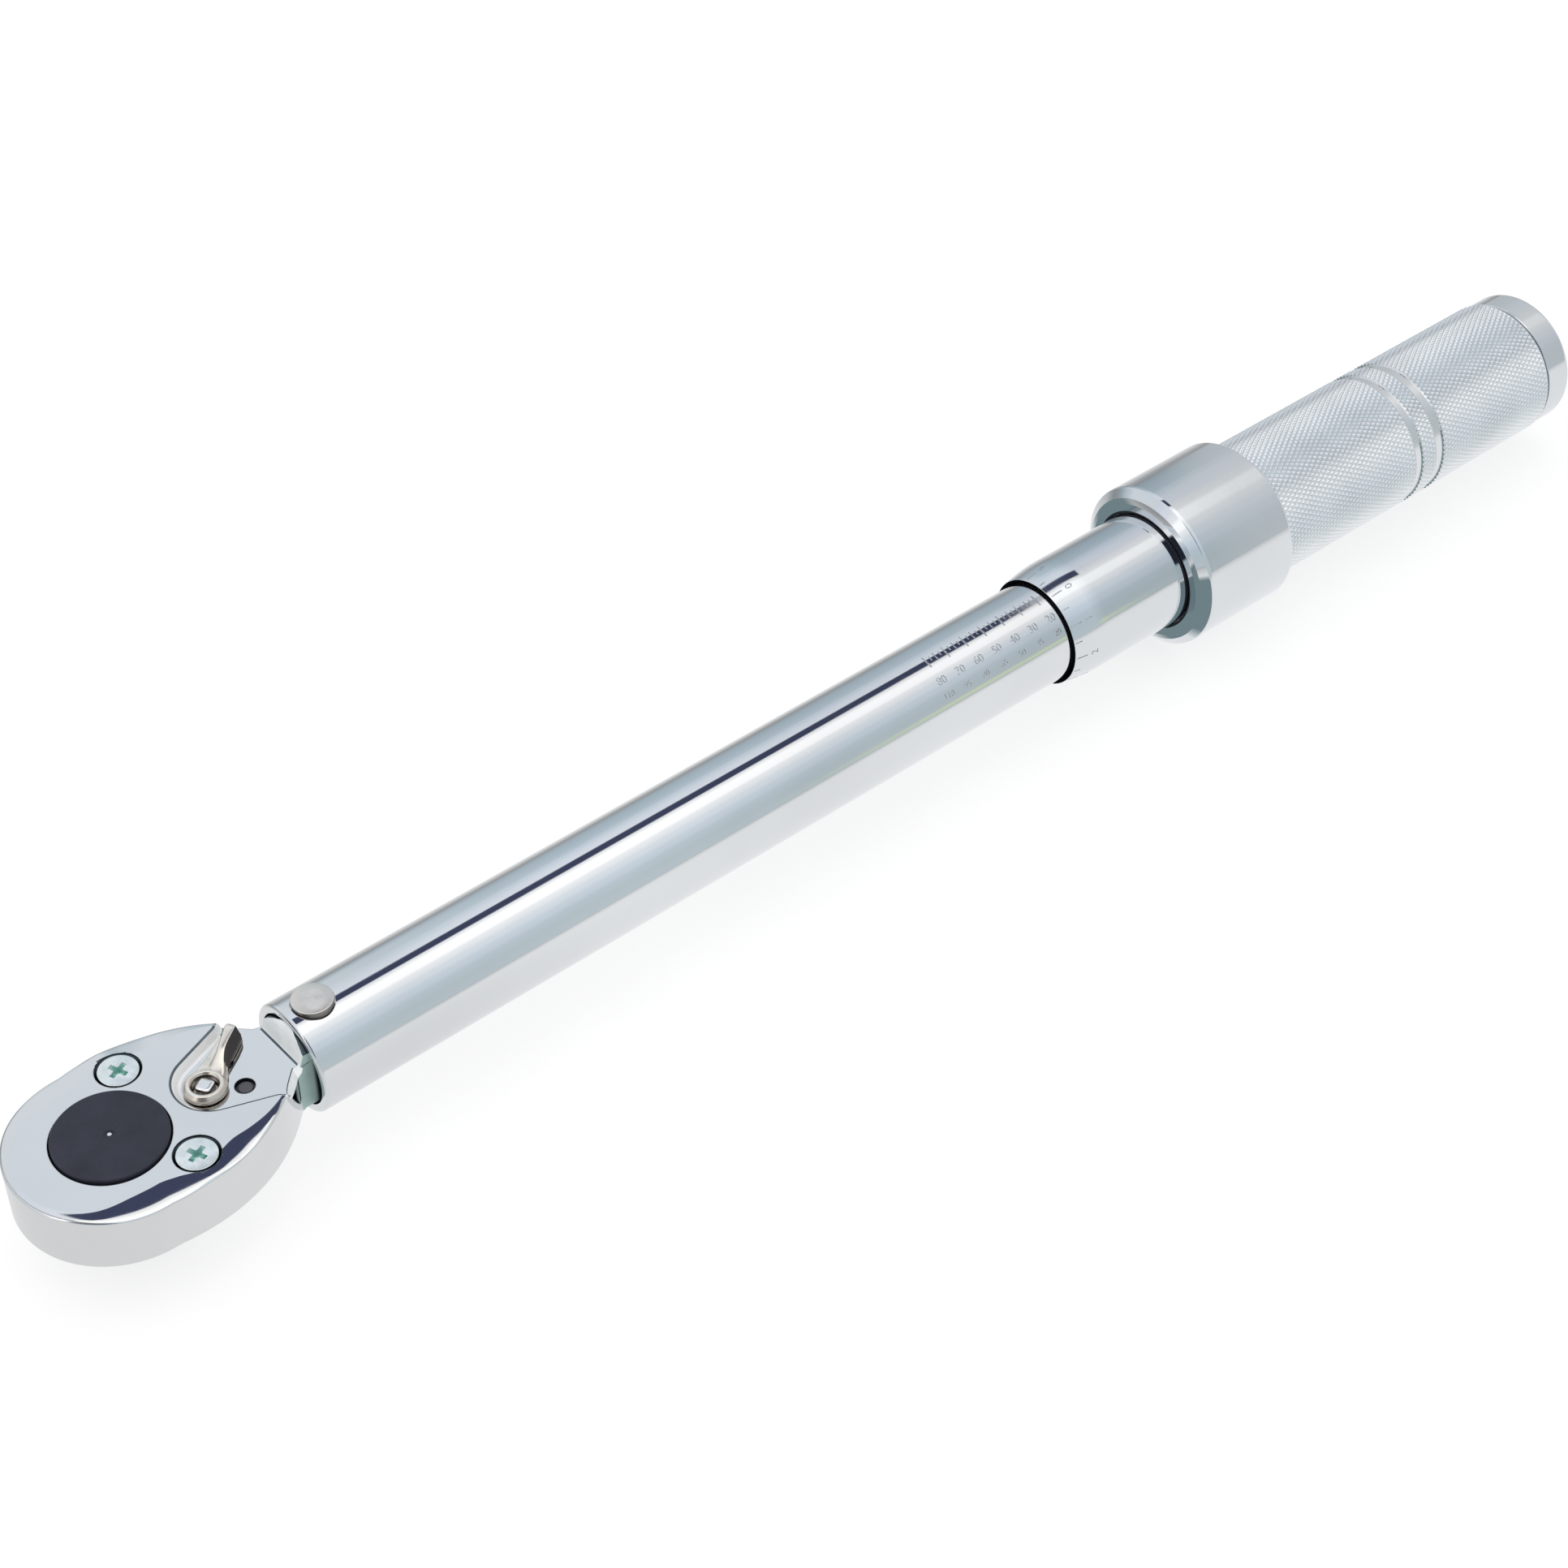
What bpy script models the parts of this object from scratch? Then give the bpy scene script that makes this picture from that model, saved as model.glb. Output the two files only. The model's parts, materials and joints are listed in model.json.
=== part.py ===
"""Micrometer click torque wrench, built from the pieces it comes apart into on a bench.

Frame: the origin is the middle of the drive square's end face. +X runs along the tube to the grip's end,
+Z is the reversing lever's side of the head, and the drive square points down -Z.
All sizes below are in millimetres, and MM turns them into metres. Heights are from the tube's axis, and the
last step raises the finished wrench so that the square's end is at zero.
"""

import math

import bmesh
import bpy
from mathutils import Matrix, Vector

MM = 0.001
GAP = 0.3                      # clearance between resting neighbours
ROUND = 36                     # sides of a large turned piece
SMALL_ROUND = 20               # sides of a small turned piece
DRILL = 16                     # sides of a drilled hole

# Tube
TUBE_R = 11.1
TUBE_BORE = 9.3
TUBE_FRONT = 37.1
TUBE_BACK = 312.0

# Ratchet head
HEAD_HALF = 6.06               # half the head's thickness
HEAD_NOSE = 19.2               # radius of the nose about the drive axis
HEAD_EDGE = 0.7                # broken edge round the head
NECK_X = 34.0
NECK_HALF = 7.2
FLOOR_Z = 4.3                  # floor of the lever's recess
CAVITY_TOP = 3.0
PLATE_TOP = -3.5               # ceiling of the cover plate's recess
PLATE_INSET = 1.9
PIVOT_X = 43.0                 # the head tilts in the tube about this pin
TANG_R = 8.95
TANG_HALF = 6.2
TANG_BACK = 51.0
TONGUE_BACK = 88.0
TONGUE_HALF_Y = 4.5
TONGUE_HALF_Z = 6.0
SCREW_X = 9.5
SCREW_Y = 13.0

# Ratchet
TEETH = 36
GEAR_R = 12.0
GEAR_ROOT = 11.0
GEAR_TOP = 2.7
GEAR_BOTTOM = -3.5
HUB_R = 10.95
HUB_TOP = 6.95
JOURNAL_R = 9.6
SQUARE = 9.5                   # three-eighths-inch drive
SQUARE_TOP = -7.0
SQUARE_END = -17.0
PAWL_X = 19.4                  # the lever and the pawl turn about this axis
PAWL_R = 6.4
PAWL_ROCK = 4.0                # the pawl leans this many degrees each way
PAWL_TEETH = (25.0, 35.0)      # gaps of the gear that the pawl's end sits in
LEVER_ANGLE = 31.4

# Trip
TRIP_BLOCK = (8.0, 6.0, 8.0)
TRIP_SOCKET = 1.0
PLUNGER_BACK = 120.0
SPRING_R = 6.8
SPRING_WIRE = 1.4
SPRING_TURNS = 11
SEAT_FRONT = 250.0

# Adjuster and grip
FEED = 33.02                   # thirteen turns of a 2.54 mm lead
SCREW_R = 5.3
NUT_X = 294.0
NUT_HALF = 9.0
SLEEVE_FRONT = 223.5
SLEEVE_R = 13.0
SLEEVE_BORE = 11.25
SLEEVE_BACK = 300.0
GRIP_R = 15.75
GRIP_FRONT = 278.5
GRIP_BACK = 371.8
GRIP_BANDS = ((326.0, 328.0), (332.7, 335.0))
WEB_FRONT = 349.0
WEB_BACK = 360.0
CAP_R = 15.4
CAP_BACK = 379.5

# Lock collar
COLLAR_FRONT = 255.9
COLLAR_BACK = 283.0
COLLAR_R = 18.4
COLLAR_TRAVEL = 5.0
LOCK_X = 261.5                 # the lock balls' place along the tube
LOCK_BALL_R = 1.5
LOCK_BALL_FREE = 12.7          # the balls' distance from the tube's axis, unlocked
LOCK_GROOVES = 10
STOP_X = 270.9                 # wire ring that keeps the collar on the sleeve

FINISHES = {                   # colour, metallic, roughness
    "polished_chrome": ((0.78, 0.80, 0.82), 1.0, 0.06),
    "knurled_chrome": ((0.72, 0.74, 0.76), 1.0, 0.28),
    "warm_nickel": ((0.66, 0.62, 0.57), 1.0, 0.22),
    "black_oxide": ((0.03, 0.03, 0.04), 0.7, 0.45),
    "zinc_plate": ((0.74, 0.80, 0.78), 1.0, 0.25),
    "turned_steel": ((0.60, 0.60, 0.60), 1.0, 0.32),
    "spring_steel": ((0.30, 0.30, 0.32), 1.0, 0.35),
    "bearing_steel": ((0.80, 0.80, 0.82), 1.0, 0.08),
}


# ---------------------------------------------------------------- helpers

def clear_scene():
    for obj in list(bpy.data.objects):
        bpy.data.objects.remove(obj, do_unlink=True)


def new_collection(name):
    collection = bpy.data.collections.new(name)
    bpy.context.scene.collection.children.link(collection)
    return collection


clear_scene()
PARTS = new_collection("torque_wrench")
CUTTERS = new_collection("cutters")


def put_in(obj, collection):
    for other in list(obj.users_collection):
        other.objects.unlink(obj)
    collection.objects.link(obj)


def polar(radius, degrees, centre=(0.0, 0.0)):
    angle = math.radians(degrees)
    return (centre[0] + radius * math.cos(angle), centre[1] + radius * math.sin(angle))


def arc(radius, start, end, count, centre=(0.0, 0.0)):
    """Points from one angle to another, both ends included."""
    return [polar(radius, start + (end - start) * i / count, centre) for i in range(count + 1)]


def turned_about(point, degrees, centre):
    """A point of an outline, turned about a centre."""
    spin = Matrix.Rotation(math.radians(degrees), 2)
    moved = spin @ Vector((point[0] - centre[0], point[1] - centre[1]))
    return (centre[0] + moved.x, centre[1] + moved.y)


def mirrored(points):
    """The same points on the other side of the X axis, in the order that carries an outline on."""
    return [(x, -y) for x, y in reversed(points)]


def turned(name, profile, at=(0.0, 0.0, 0.0), axis=(1.0, 0.0, 0.0), steps=ROUND):
    """A piece of revolution about an axis through a point.

    The profile holds (radius, distance along the axis). It runs up the outside, and a ring's profile comes
    back down its bore.
    """
    points = [(radius * MM, 0.0, along * MM) for radius, along in reversed(profile)]
    count = len(points)
    edges = [(i, i + 1) for i in range(count - 1)]
    if profile[0][0] > 0:
        edges.append((count - 1, 0))
    mesh = bpy.data.meshes.new(name)
    mesh.from_pydata(points, edges, [])
    obj = bpy.data.objects.new(name, mesh)
    PARTS.objects.link(obj)
    obj.location = Vector(at) * MM
    obj.rotation_euler = Vector((0.0, 0.0, 1.0)).rotation_difference(Vector(axis)).to_euler()
    screw = obj.modifiers.new("turn", "SCREW")
    screw.axis = "Z"
    screw.angle = 2 * math.pi
    screw.steps = steps
    screw.render_steps = steps
    screw.use_merge_vertices = True
    screw.merge_threshold = 0.000005
    screw.use_smooth_shade = True
    return obj


def as_mesh(curve_obj):
    """Swaps a curve for the closed mesh that it evaluates to."""
    bpy.context.view_layer.update()
    graph = bpy.context.evaluated_depsgraph_get()
    mesh = bpy.data.meshes.new_from_object(curve_obj.evaluated_get(graph))
    welded = bmesh.new()
    welded.from_mesh(mesh)
    bmesh.ops.remove_doubles(welded, verts=welded.verts, dist=0.000002)
    bmesh.ops.recalc_face_normals(welded, faces=welded.faces)
    welded.to_mesh(mesh)
    welded.free()
    name = curve_obj.name
    place = curve_obj.matrix_world.copy()
    data = curve_obj.data
    bpy.data.objects.remove(curve_obj, do_unlink=True)
    bpy.data.curves.remove(data)
    obj = bpy.data.objects.new(name, mesh)
    PARTS.objects.link(obj)
    obj.matrix_world = place
    return obj


def flat(name, outline, low, high, edge=0.0):
    """A flat piece with an outline in the XY plane, between two heights. edge breaks its rims."""
    curve = bpy.data.curves.new(name, "CURVE")
    curve.dimensions = "2D"
    curve.fill_mode = "BOTH"
    curve.resolution_u = 1
    curve.render_resolution_u = 0
    curve.extrude = (high - low) / 2 * MM - edge * MM
    curve.bevel_depth = edge * MM
    curve.bevel_resolution = 0
    curve.offset = -edge * MM
    spline = curve.splines.new("POLY")
    spline.points.add(len(outline) - 1)
    for point, (x, y) in zip(spline.points, outline):
        point.co = (x * MM, y * MM, 0.0, 1.0)
    spline.use_cyclic_u = True
    obj = bpy.data.objects.new(name, curve)
    PARTS.objects.link(obj)
    obj.location = (0.0, 0.0, (low + high) / 2 * MM)
    return as_mesh(obj)


def wire(name, points, radius, sides=2):
    """A round wire through points, with closed ends."""
    curve = bpy.data.curves.new(name, "CURVE")
    curve.dimensions = "3D"
    curve.resolution_u = 1
    curve.render_resolution_u = 0
    curve.bevel_depth = radius * MM
    curve.bevel_resolution = sides
    curve.use_fill_caps = True
    spline = curve.splines.new("POLY")
    spline.points.add(len(points) - 1)
    for point, (x, y, z) in zip(spline.points, points):
        point.co = (x * MM, y * MM, z * MM, 1.0)
    obj = bpy.data.objects.new(name, curve)
    PARTS.objects.link(obj)
    return obj


def coil(name, radius, wire_r, start, end, turns, per_turn=8, sides=1):
    """A compression spring whose wire's centre line runs between two points on its axis."""
    start, end = Vector(start), Vector(end)
    along = (end - start).normalized()
    side = along.orthogonal().normalized()
    other = along.cross(side)
    count = turns * per_turn
    points = []
    for i in range(count + 1):
        angle = 2 * math.pi * i / per_turn
        # the first and last turns lie nearly flat, as on a ground spring
        share = min(max((i / per_turn - 1) / (turns - 2), 0.0), 1.0)
        ends = (min(i / per_turn, 1.0) + max(i / per_turn - turns + 1, 0.0)) / 2
        closed = 2.2 * wire_r / (end - start).length
        height = (end - start) * (share * (1 - 2 * closed) + 2 * closed * ends)
        points.append(start + height + (side * math.cos(angle) + other * math.sin(angle)) * radius)
    return wire(name, points, wire_r, sides)


def box(name, low, high):
    bpy.ops.mesh.primitive_cube_add(size=1)
    obj = bpy.context.object
    obj.name = name
    size = [(b - a) * MM for a, b in zip(low, high)]
    obj.data.transform(Matrix.Diagonal((*size, 1.0)))
    obj.location = [(a + b) / 2 * MM for a, b in zip(low, high)]
    put_in(obj, PARTS)
    return obj


def ball(name, radius, at, segments=16, rings=10):
    bpy.ops.mesh.primitive_uv_sphere_add(segments=segments, ring_count=rings, radius=radius * MM)
    obj = bpy.context.object
    obj.name = name
    obj.location = Vector(at) * MM
    put_in(obj, PARTS)
    return obj


def rod(radius, low, high):
    """Profile of a plain round bar."""
    return [(0.0, low), (radius, low), (radius, high), (0.0, high)]


def ring(outer, bore, low, high):
    """Profile of a plain bush."""
    return [(outer, low), (outer, high), (bore, high), (bore, low)]


def combine(target, tool, operation):
    """Cuts or joins a tool object to a target. The tool stays as a hidden construction object."""
    boolean = target.modifiers.new(tool.name, "BOOLEAN")
    boolean.operation = operation
    boolean.solver = "EXACT"
    boolean.object = tool
    tool.hide_render = True
    tool.display_type = "WIRE"
    put_in(tool, CUTTERS)


def cut(target, *tools):
    for tool in tools:
        combine(target, tool, "DIFFERENCE")


def join(target, *tools):
    for tool in tools:
        combine(target, tool, "UNION")


def drilled(name, radius, start, end, steps=DRILL):
    """A cutter for a round hole between two points."""
    start, end = Vector(start), Vector(end)
    length = (end - start).length
    return turned(name, rod(radius, 0.0, length), start, (end - start) / length, steps)


def pivot(name, at, parent=None):
    """An empty on a joint's axis, which the moving pieces hang from."""
    empty = bpy.data.objects.new(name, None)
    empty.empty_display_size = 0.005
    PARTS.objects.link(empty)
    empty.location = Vector(at) * MM
    bpy.context.view_layer.update()
    hang(empty, parent)
    return empty


def hang(obj, parent):
    if parent is not None:
        bpy.context.view_layer.update()
        obj.parent = parent
        obj.matrix_parent_inverse = parent.matrix_world.inverted()


def finish(obj, look, parent=None):
    """Gives a piece its own material, smooth shading with sharp edges kept, and its joint."""
    colour, metallic, roughness = FINISHES[look]
    material = bpy.data.materials.new(obj.name + "_" + look)
    material.use_nodes = True
    shader = material.node_tree.nodes["Principled BSDF"]
    shader.inputs["Base Color"].default_value = (*colour, 1.0)
    shader.inputs["Metallic"].default_value = metallic
    shader.inputs["Roughness"].default_value = roughness
    obj.data.materials.append(material)
    if obj.type == "MESH" and obj.data.polygons:
        obj.data.shade_smooth()
        obj.data.set_sharp_from_angle(angle=math.radians(35))
    hang(obj, parent)
    return obj


# ---------------------------------------------------------------- joint axes

head_axis = pivot("head_axis", (PIVOT_X, 0, 0))
lever_axis = pivot("lever_axis", (PAWL_X, 0, 0), head_axis)
pawl_axis = pivot("pawl_axis", (PAWL_X, 0, 0), head_axis)
drive_axis = pivot("drive_axis", (0, 0, 0), head_axis)
ball_axis = pivot("socket_ball_axis", (0, 0, 0), drive_axis)
plunger_axis = pivot("plunger_axis", (PLUNGER_BACK, 0, 0))
seat_axis = pivot("seat_axis", (SEAT_FRONT, 0, 0))
grip_axis = pivot("grip_axis", (GRIP_FRONT, 0, 0), seat_axis)
collar_axis = pivot("collar_axis", (COLLAR_FRONT, 0, 0), grip_axis)


# ---------------------------------------------------------------- housing

def build_outer_tube():
    tube = turned("outer_tube", ring(TUBE_R, TUBE_BORE, TUBE_FRONT, TUBE_BACK))
    hole, spotface, depth = 3.05, 4.4, 10.1
    profile = [(0.0, -14.0), (spotface, -14.0), (spotface, -depth), (hole, -depth), (hole, depth),
               (spotface, depth), (spotface, 14.0), (0.0, 14.0)]
    cut(tube, turned("pivot_pin_hole", profile, (PIVOT_X, 0, 0), (0, 0, 1), SMALL_ROUND))
    for side in (-1, 1):
        cut(tube, drilled(f"nut_pin_hole_{side}", 1.8, (NUT_X, 0, 8 * side), (NUT_X, 0, 14 * side), 16))
    for i in range(LOCK_GROOVES):
        groove = box(f"lock_groove_{i}", (LOCK_X - FEED - 2.2, -1.8, 9.8), (LOCK_X + 2.2, 1.8, 12.0))
        groove.data.transform(Matrix.Translation((0, 0, groove.location.z)))
        groove.location.z = 0.0
        groove.rotation_euler.x = 2 * math.pi * i / LOCK_GROOVES
        cut(tube, groove)
    return finish(tube, "polished_chrome")


def build_pivot_pin():
    """A rivet: a button head on the lever's side and a closed head underneath."""
    top, shank, tail = 4.15, 2.9, 3.9
    profile = [(0.0, -11.5), (tail - 0.5, -11.5), (tail, -11.0), (tail, -10.3), (shank, -10.3),
               (shank, 10.3), (top, 10.3), (top, 11.3), (top - 0.4, 11.65), (0.0, 11.65)]
    pin = turned("pivot_pin", profile, (PIVOT_X, 0, 0), (0, 0, 1), SMALL_ROUND)
    return finish(pin, "turned_steel")


def build_adjusting_nut():
    nut = turned("adjusting_nut", ring(9.1, SCREW_R + 0.2, NUT_X - NUT_HALF, NUT_X + NUT_HALF), steps=32)
    for side, word in ((1, "upper"), (-1, "lower")):
        start, end = (NUT_X, 0, 6.4 * side), (NUT_X, 0, 14 * side)
        cut(nut, drilled(f"nut_cross_hole_{word}", 1.8, start, end, 16))
        pin = turned(f"nut_pin_{word}", rod(1.5, 6.7, 10.8), (NUT_X, 0, 0), (0, 0, side), 16)
        finish(pin, "turned_steel")
    return finish(nut, "turned_steel")


def build_main_spring():
    front = PLUNGER_BACK + GAP + SPRING_WIRE
    back = SEAT_FRONT - GAP - SPRING_WIRE
    spring = coil("main_spring", SPRING_R, SPRING_WIRE, (front, 0, 0), (back, 0, 0), SPRING_TURNS, 10, 2)
    return finish(spring, "spring_steel")


# ---------------------------------------------------------------- head

def half_outline(inset=0.0, back=NECK_X, count=11):
    """The head's outline above the X axis, from the nose to the neck, drawn inwards by the inset."""
    nose = arc(HEAD_NOSE - inset, 180.0, 88.0, 9)
    start, end = Vector(nose[-1]), Vector((NECK_X, NECK_HALF - inset))
    swell, draw_in = Vector((14.0, 21.0 - inset)), Vector((25.0 - inset / 2, 16.8 - inset))
    flank = []
    for i in range(1, count + 1):
        t = i / count
        s = 1 - t
        point = start * s ** 3 + swell * 3 * s * s * t + draw_in * 3 * s * t * t + end * t ** 3
        flank.append((point.x, point.y))
    return [p for p in nose + flank if p[0] <= back]


def head_outline(inset=0.0, back=NECK_X):
    upper = half_outline(inset, back)
    lower = [(x, -y) for x, y in reversed(upper)]
    return upper + lower[:-1]


def lever_recess():
    """The recess for the lever: a round nose about the lever's boss that opens out to the neck."""
    centre, radius, splay = (21.2, 0.0), 7.8, 20.5
    nose = arc(radius, 90 + splay, 270 - splay, 10, centre)
    reach = 35.2 - nose[0][0]
    far = (35.2, nose[0][1] + reach * math.tan(math.radians(splay)))
    return flat("lever_recess", [(35.2, -far[1]), far] + nose, FLOOR_Z, 8.0)


def pawl_room():
    """Room beside the gear for the pawl's two arms, wherever the pawl leans."""
    upper = [(6.0, 6.6), (10.2, 8.9), (11.6, 10.1), (12.4, 10.1), (20.2, 6.9)]
    return flat("pawl_room", upper + mirrored(upper), -8.0, GEAR_TOP - 0.1)


def screw_hole(name, side):
    hole, sink, rim = 2.1, 4.35, HEAD_HALF - 0.45
    profile = [(0.0, -8.0), (hole, -8.0), (hole, rim - sink + hole), (sink, rim), (sink, 8.0), (0.0, 8.0)]
    return turned(name, profile, (SCREW_X, SCREW_Y * side, 0), (0, 0, 1), SMALL_ROUND)


def build_ratchet_head():
    head = flat("ratchet_head", head_outline(), -HEAD_HALF, HEAD_HALF, HEAD_EDGE)
    cut(head, lever_recess())
    tang = turned("tang", [(0.0, 33.0), (4.1, 33.0), (4.1, 34.9), (TANG_R, 36.8), (TANG_R, TANG_BACK - 0.8),
                           (TANG_R - 0.8, TANG_BACK), (0.0, TANG_BACK)])
    for side in (-1, 1):
        low, high = sorted((TANG_HALF * side, 12 * side))
        cut(tang, box(f"tang_flat_{side}", (30, low, -12), (60, high, 12)))
    tongue_sides = [(TANG_BACK - 4, TANG_HALF), (TANG_BACK + 4, TANG_HALF), (TONGUE_BACK, TONGUE_HALF_Y)]
    tongue = flat("tongue", tongue_sides + mirrored(tongue_sides), -TONGUE_HALF_Z, TONGUE_HALF_Z)
    neck = box("neck", (NECK_X - 6, -NECK_HALF + 0.9, -HEAD_HALF), (NECK_X + 3, NECK_HALF - 0.9, FLOOR_Z))
    join(head, neck, tang, tongue)
    well_profile = [(0.0, -8.0), (GEAR_R + 0.4, -8.0), (GEAR_R + 0.4, CAVITY_TOP), (HUB_R + 0.3, CAVITY_TOP),
                    (HUB_R + 0.3, 9.0), (0.0, 9.0)]
    well = turned("gear_well", well_profile, axis=(0, 0, 1))
    tail = drilled("pawl_tail_room", PAWL_R + 0.5, (PAWL_X, 0, -8), (PAWL_X, 0, GEAR_TOP - 0.1), 32)
    plate_seat = flat("plate_seat", head_outline(PLATE_INSET, 29.0), -8.0, PLATE_TOP)
    cut(head, well, pawl_room(), tail, plate_seat)
    for side in (-1, 1):
        cut(head, screw_hole(f"head_screw_hole_{side}", side))
        x, y = polar(6.9, LEVER_ANGLE * side, (PAWL_X, 0))
        cut(head, drilled(f"lever_pocket_{side}", 1.9, (x, y, 3.3), (x, y, 8), 16))
    cut(head, drilled("lever_shaft_hole", 3.25, (PAWL_X, 0, 1), (PAWL_X, 0, 8), SMALL_ROUND))
    cut(head, drilled("head_pivot_hole", 3.1, (PIVOT_X, 0, -12), (PIVOT_X, 0, 12)))
    return finish(head, "polished_chrome", head_axis)


def build_cover_plate():
    plate = flat("cover_plate", head_outline(PLATE_INSET + GAP, 28.4), -HEAD_HALF, PLATE_TOP - GAP)
    cut(plate, drilled("journal_hole", JOURNAL_R + 0.3, (0, 0, -9), (0, 0, 0), ROUND))
    cut(plate, drilled("shaft_foot_hole", 2.3, (PAWL_X, 0, -9), (PAWL_X, 0, 0), 16))
    for side in (-1, 1):
        at = (SCREW_X, SCREW_Y * side)
        cut(plate, drilled(f"plate_screw_hole_{side}", 2.1, (*at, -9), (*at, 0), 16))
    return finish(plate, "polished_chrome", head_axis)


def build_cover_screw(name, side):
    """Countersunk cross-recess screw, let in from the lever's side and threaded into the cover plate."""
    top, head_r, shank = HEAD_HALF - 0.1, 4.15, 1.9
    profile = [(0.0, -5.9), (shank, -5.9), (shank, top - 0.3 - head_r + shank), (head_r, top - 0.3),
               (head_r, top), (0.0, top)]
    screw = turned(name, profile, (SCREW_X, SCREW_Y * side, 0), (0, 0, 1), SMALL_ROUND)
    for i, turn in enumerate((20, 110)):
        slot = box(f"{name}_slot_{i}", (-1.9, -0.45, -1.5), (1.9, 0.45, 1.5))
        slot.location = (SCREW_X * MM, SCREW_Y * side * MM, top * MM)
        slot.rotation_euler.z = math.radians(turn)
        cut(screw, slot)
    return finish(screw, "zinc_plate", head_axis)


# ---------------------------------------------------------------- reversing lever and pawl

def build_reversing_lever():
    root, tip, length = 4.2, 2.6, 14.0
    outline = arc(root, 60, 300, 16) + arc(tip, -70, 70, 8, (length - tip, 0.0))
    lever = flat("reversing_lever", outline, FLOOR_Z + GAP, 6.2, 0.25)
    fin = box("thumb_fin", (5.4, -1.8, 5.9), (length - 0.6, 1.8, 7.9))
    shank = box("lever_square_hole", (-2.1, -2.1, 3), (2.1, 2.1, 9))
    pocket = drilled("lever_ball_hole", 1.25, (6.9, 0, 3), (6.9, 0, 7.4), 16)
    join(lever, fin)
    cut(lever, shank, pocket)
    for obj in (lever, fin, shank, pocket):
        place = Matrix.Translation((PAWL_X * MM, 0, 0)) @ Matrix.Rotation(math.radians(LEVER_ANGLE), 4, "Z")
        bpy.context.view_layer.update()
        obj.matrix_world = place @ obj.matrix_world
    return finish(lever, "warm_nickel", lever_axis)


def build_lever_shaft():
    top, foot = 4.1, -5.6
    profile = [(0.0, foot), (2.0, foot), (2.0, -3.6), (3.0, -3.6), (3.0, top), (0.0, top)]
    shaft = turned("lever_shaft", profile, (PAWL_X, 0, 0), (0, 0, 1), SMALL_ROUND)
    shank = box("shaft_square", (-1.85, -1.85, top - 0.5), (1.85, 1.85, 6.0))
    shank.location.x = PAWL_X * MM
    shank.rotation_euler.z = math.radians(LEVER_ANGLE)
    join(shaft, shank)
    inner = polar(1.6, LEVER_ANGLE + 180, (PAWL_X, 0))
    outer = polar(5.0, LEVER_ANGLE, (PAWL_X, 0))
    cut(shaft, drilled("shaft_cross_hole", 1.25, (*inner, -0.5), (*outer, -0.5), 16))
    return finish(shaft, "turned_steel", lever_axis)


def build_lever_springs():
    x, y = polar(6.9, LEVER_ANGLE, (PAWL_X, 0))
    finish(ball("lever_detent_ball", 0.95, (x, y, FLOOR_Z + 1.05), 12, 8), "bearing_steel", lever_axis)
    detent = coil("lever_detent_spring", 0.7, 0.15, (x, y, 6.5), (x, y, 7.2), 3)
    finish(detent, "spring_steel", lever_axis)
    direction = (*polar(1.0, LEVER_ANGLE), 0.0)
    at = (PAWL_X, 0, -0.5)
    plunger = [(0.0, 1.1), (1.0, 1.1), (1.0, 3.5), (0.6, 4.0), (0.0, 4.15)]
    finish(turned("pawl_plunger", plunger, at, direction, 16), "turned_steel", lever_axis)
    start = Vector(at) - Vector(direction) * 1.3
    end = Vector(at) + Vector(direction) * 0.8
    finish(coil("pawl_spring", 0.8, 0.15, start, end, 4), "spring_steel", lever_axis)


def pawl_arm():
    """The upper arm with its teeth in the gear, from the boss outwards and back to the boss."""
    land, tip, base, point = GEAR_R + 0.25, GEAR_ROOT + 0.2, 4.1, 0.75
    arm = [polar(PAWL_R, 150, (PAWL_X, 0)), polar(land, PAWL_TEETH[0] - base - 0.6)]
    for gap in PAWL_TEETH:
        arm += [polar(land, gap - base), polar(tip, gap - point)]
        arm += [polar(tip, gap + point), polar(land, gap + base)]
    arm += [polar(land + 1.35, PAWL_TEETH[-1] + base - 0.2), polar(PAWL_R, 100, (PAWL_X, 0))]
    return arm


def build_pawl():
    """A rocker with a toothed arm each side. It stands leaning to the side whose arm is in mesh."""
    centre = (PAWL_X, 0.0)
    upper = [turned_about(p, -PAWL_ROCK, centre) for p in pawl_arm()]
    nose = arc(PAWL_R, 203, 157, 4, centre)
    tail = arc(PAWL_R, 88, -88, 14, centre)
    outline = nose + upper + tail + mirrored(upper)
    leaning = [turned_about(p, -PAWL_ROCK, centre) for p in outline]
    pawl = flat("pawl", leaning, PLATE_TOP + 0.1, GEAR_TOP - 0.4)
    cut(pawl, drilled("pawl_bore", 3.25, (PAWL_X, 0, -9), (PAWL_X, 0, 9)))
    spread = 62.0
    cam = [(1.0, 0.0)] + arc(5.3, -spread, -14, 6) + [(4.55, 0.0)] + arc(5.3, 14, spread, 6)
    cam = [turned_about((PAWL_X + x, y), -PAWL_ROCK, centre) for x, y in cam]
    cut(pawl, flat("pawl_cam", cam, -9, 9))
    return finish(pawl, "turned_steel", pawl_axis)


# ---------------------------------------------------------------- drive

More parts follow.
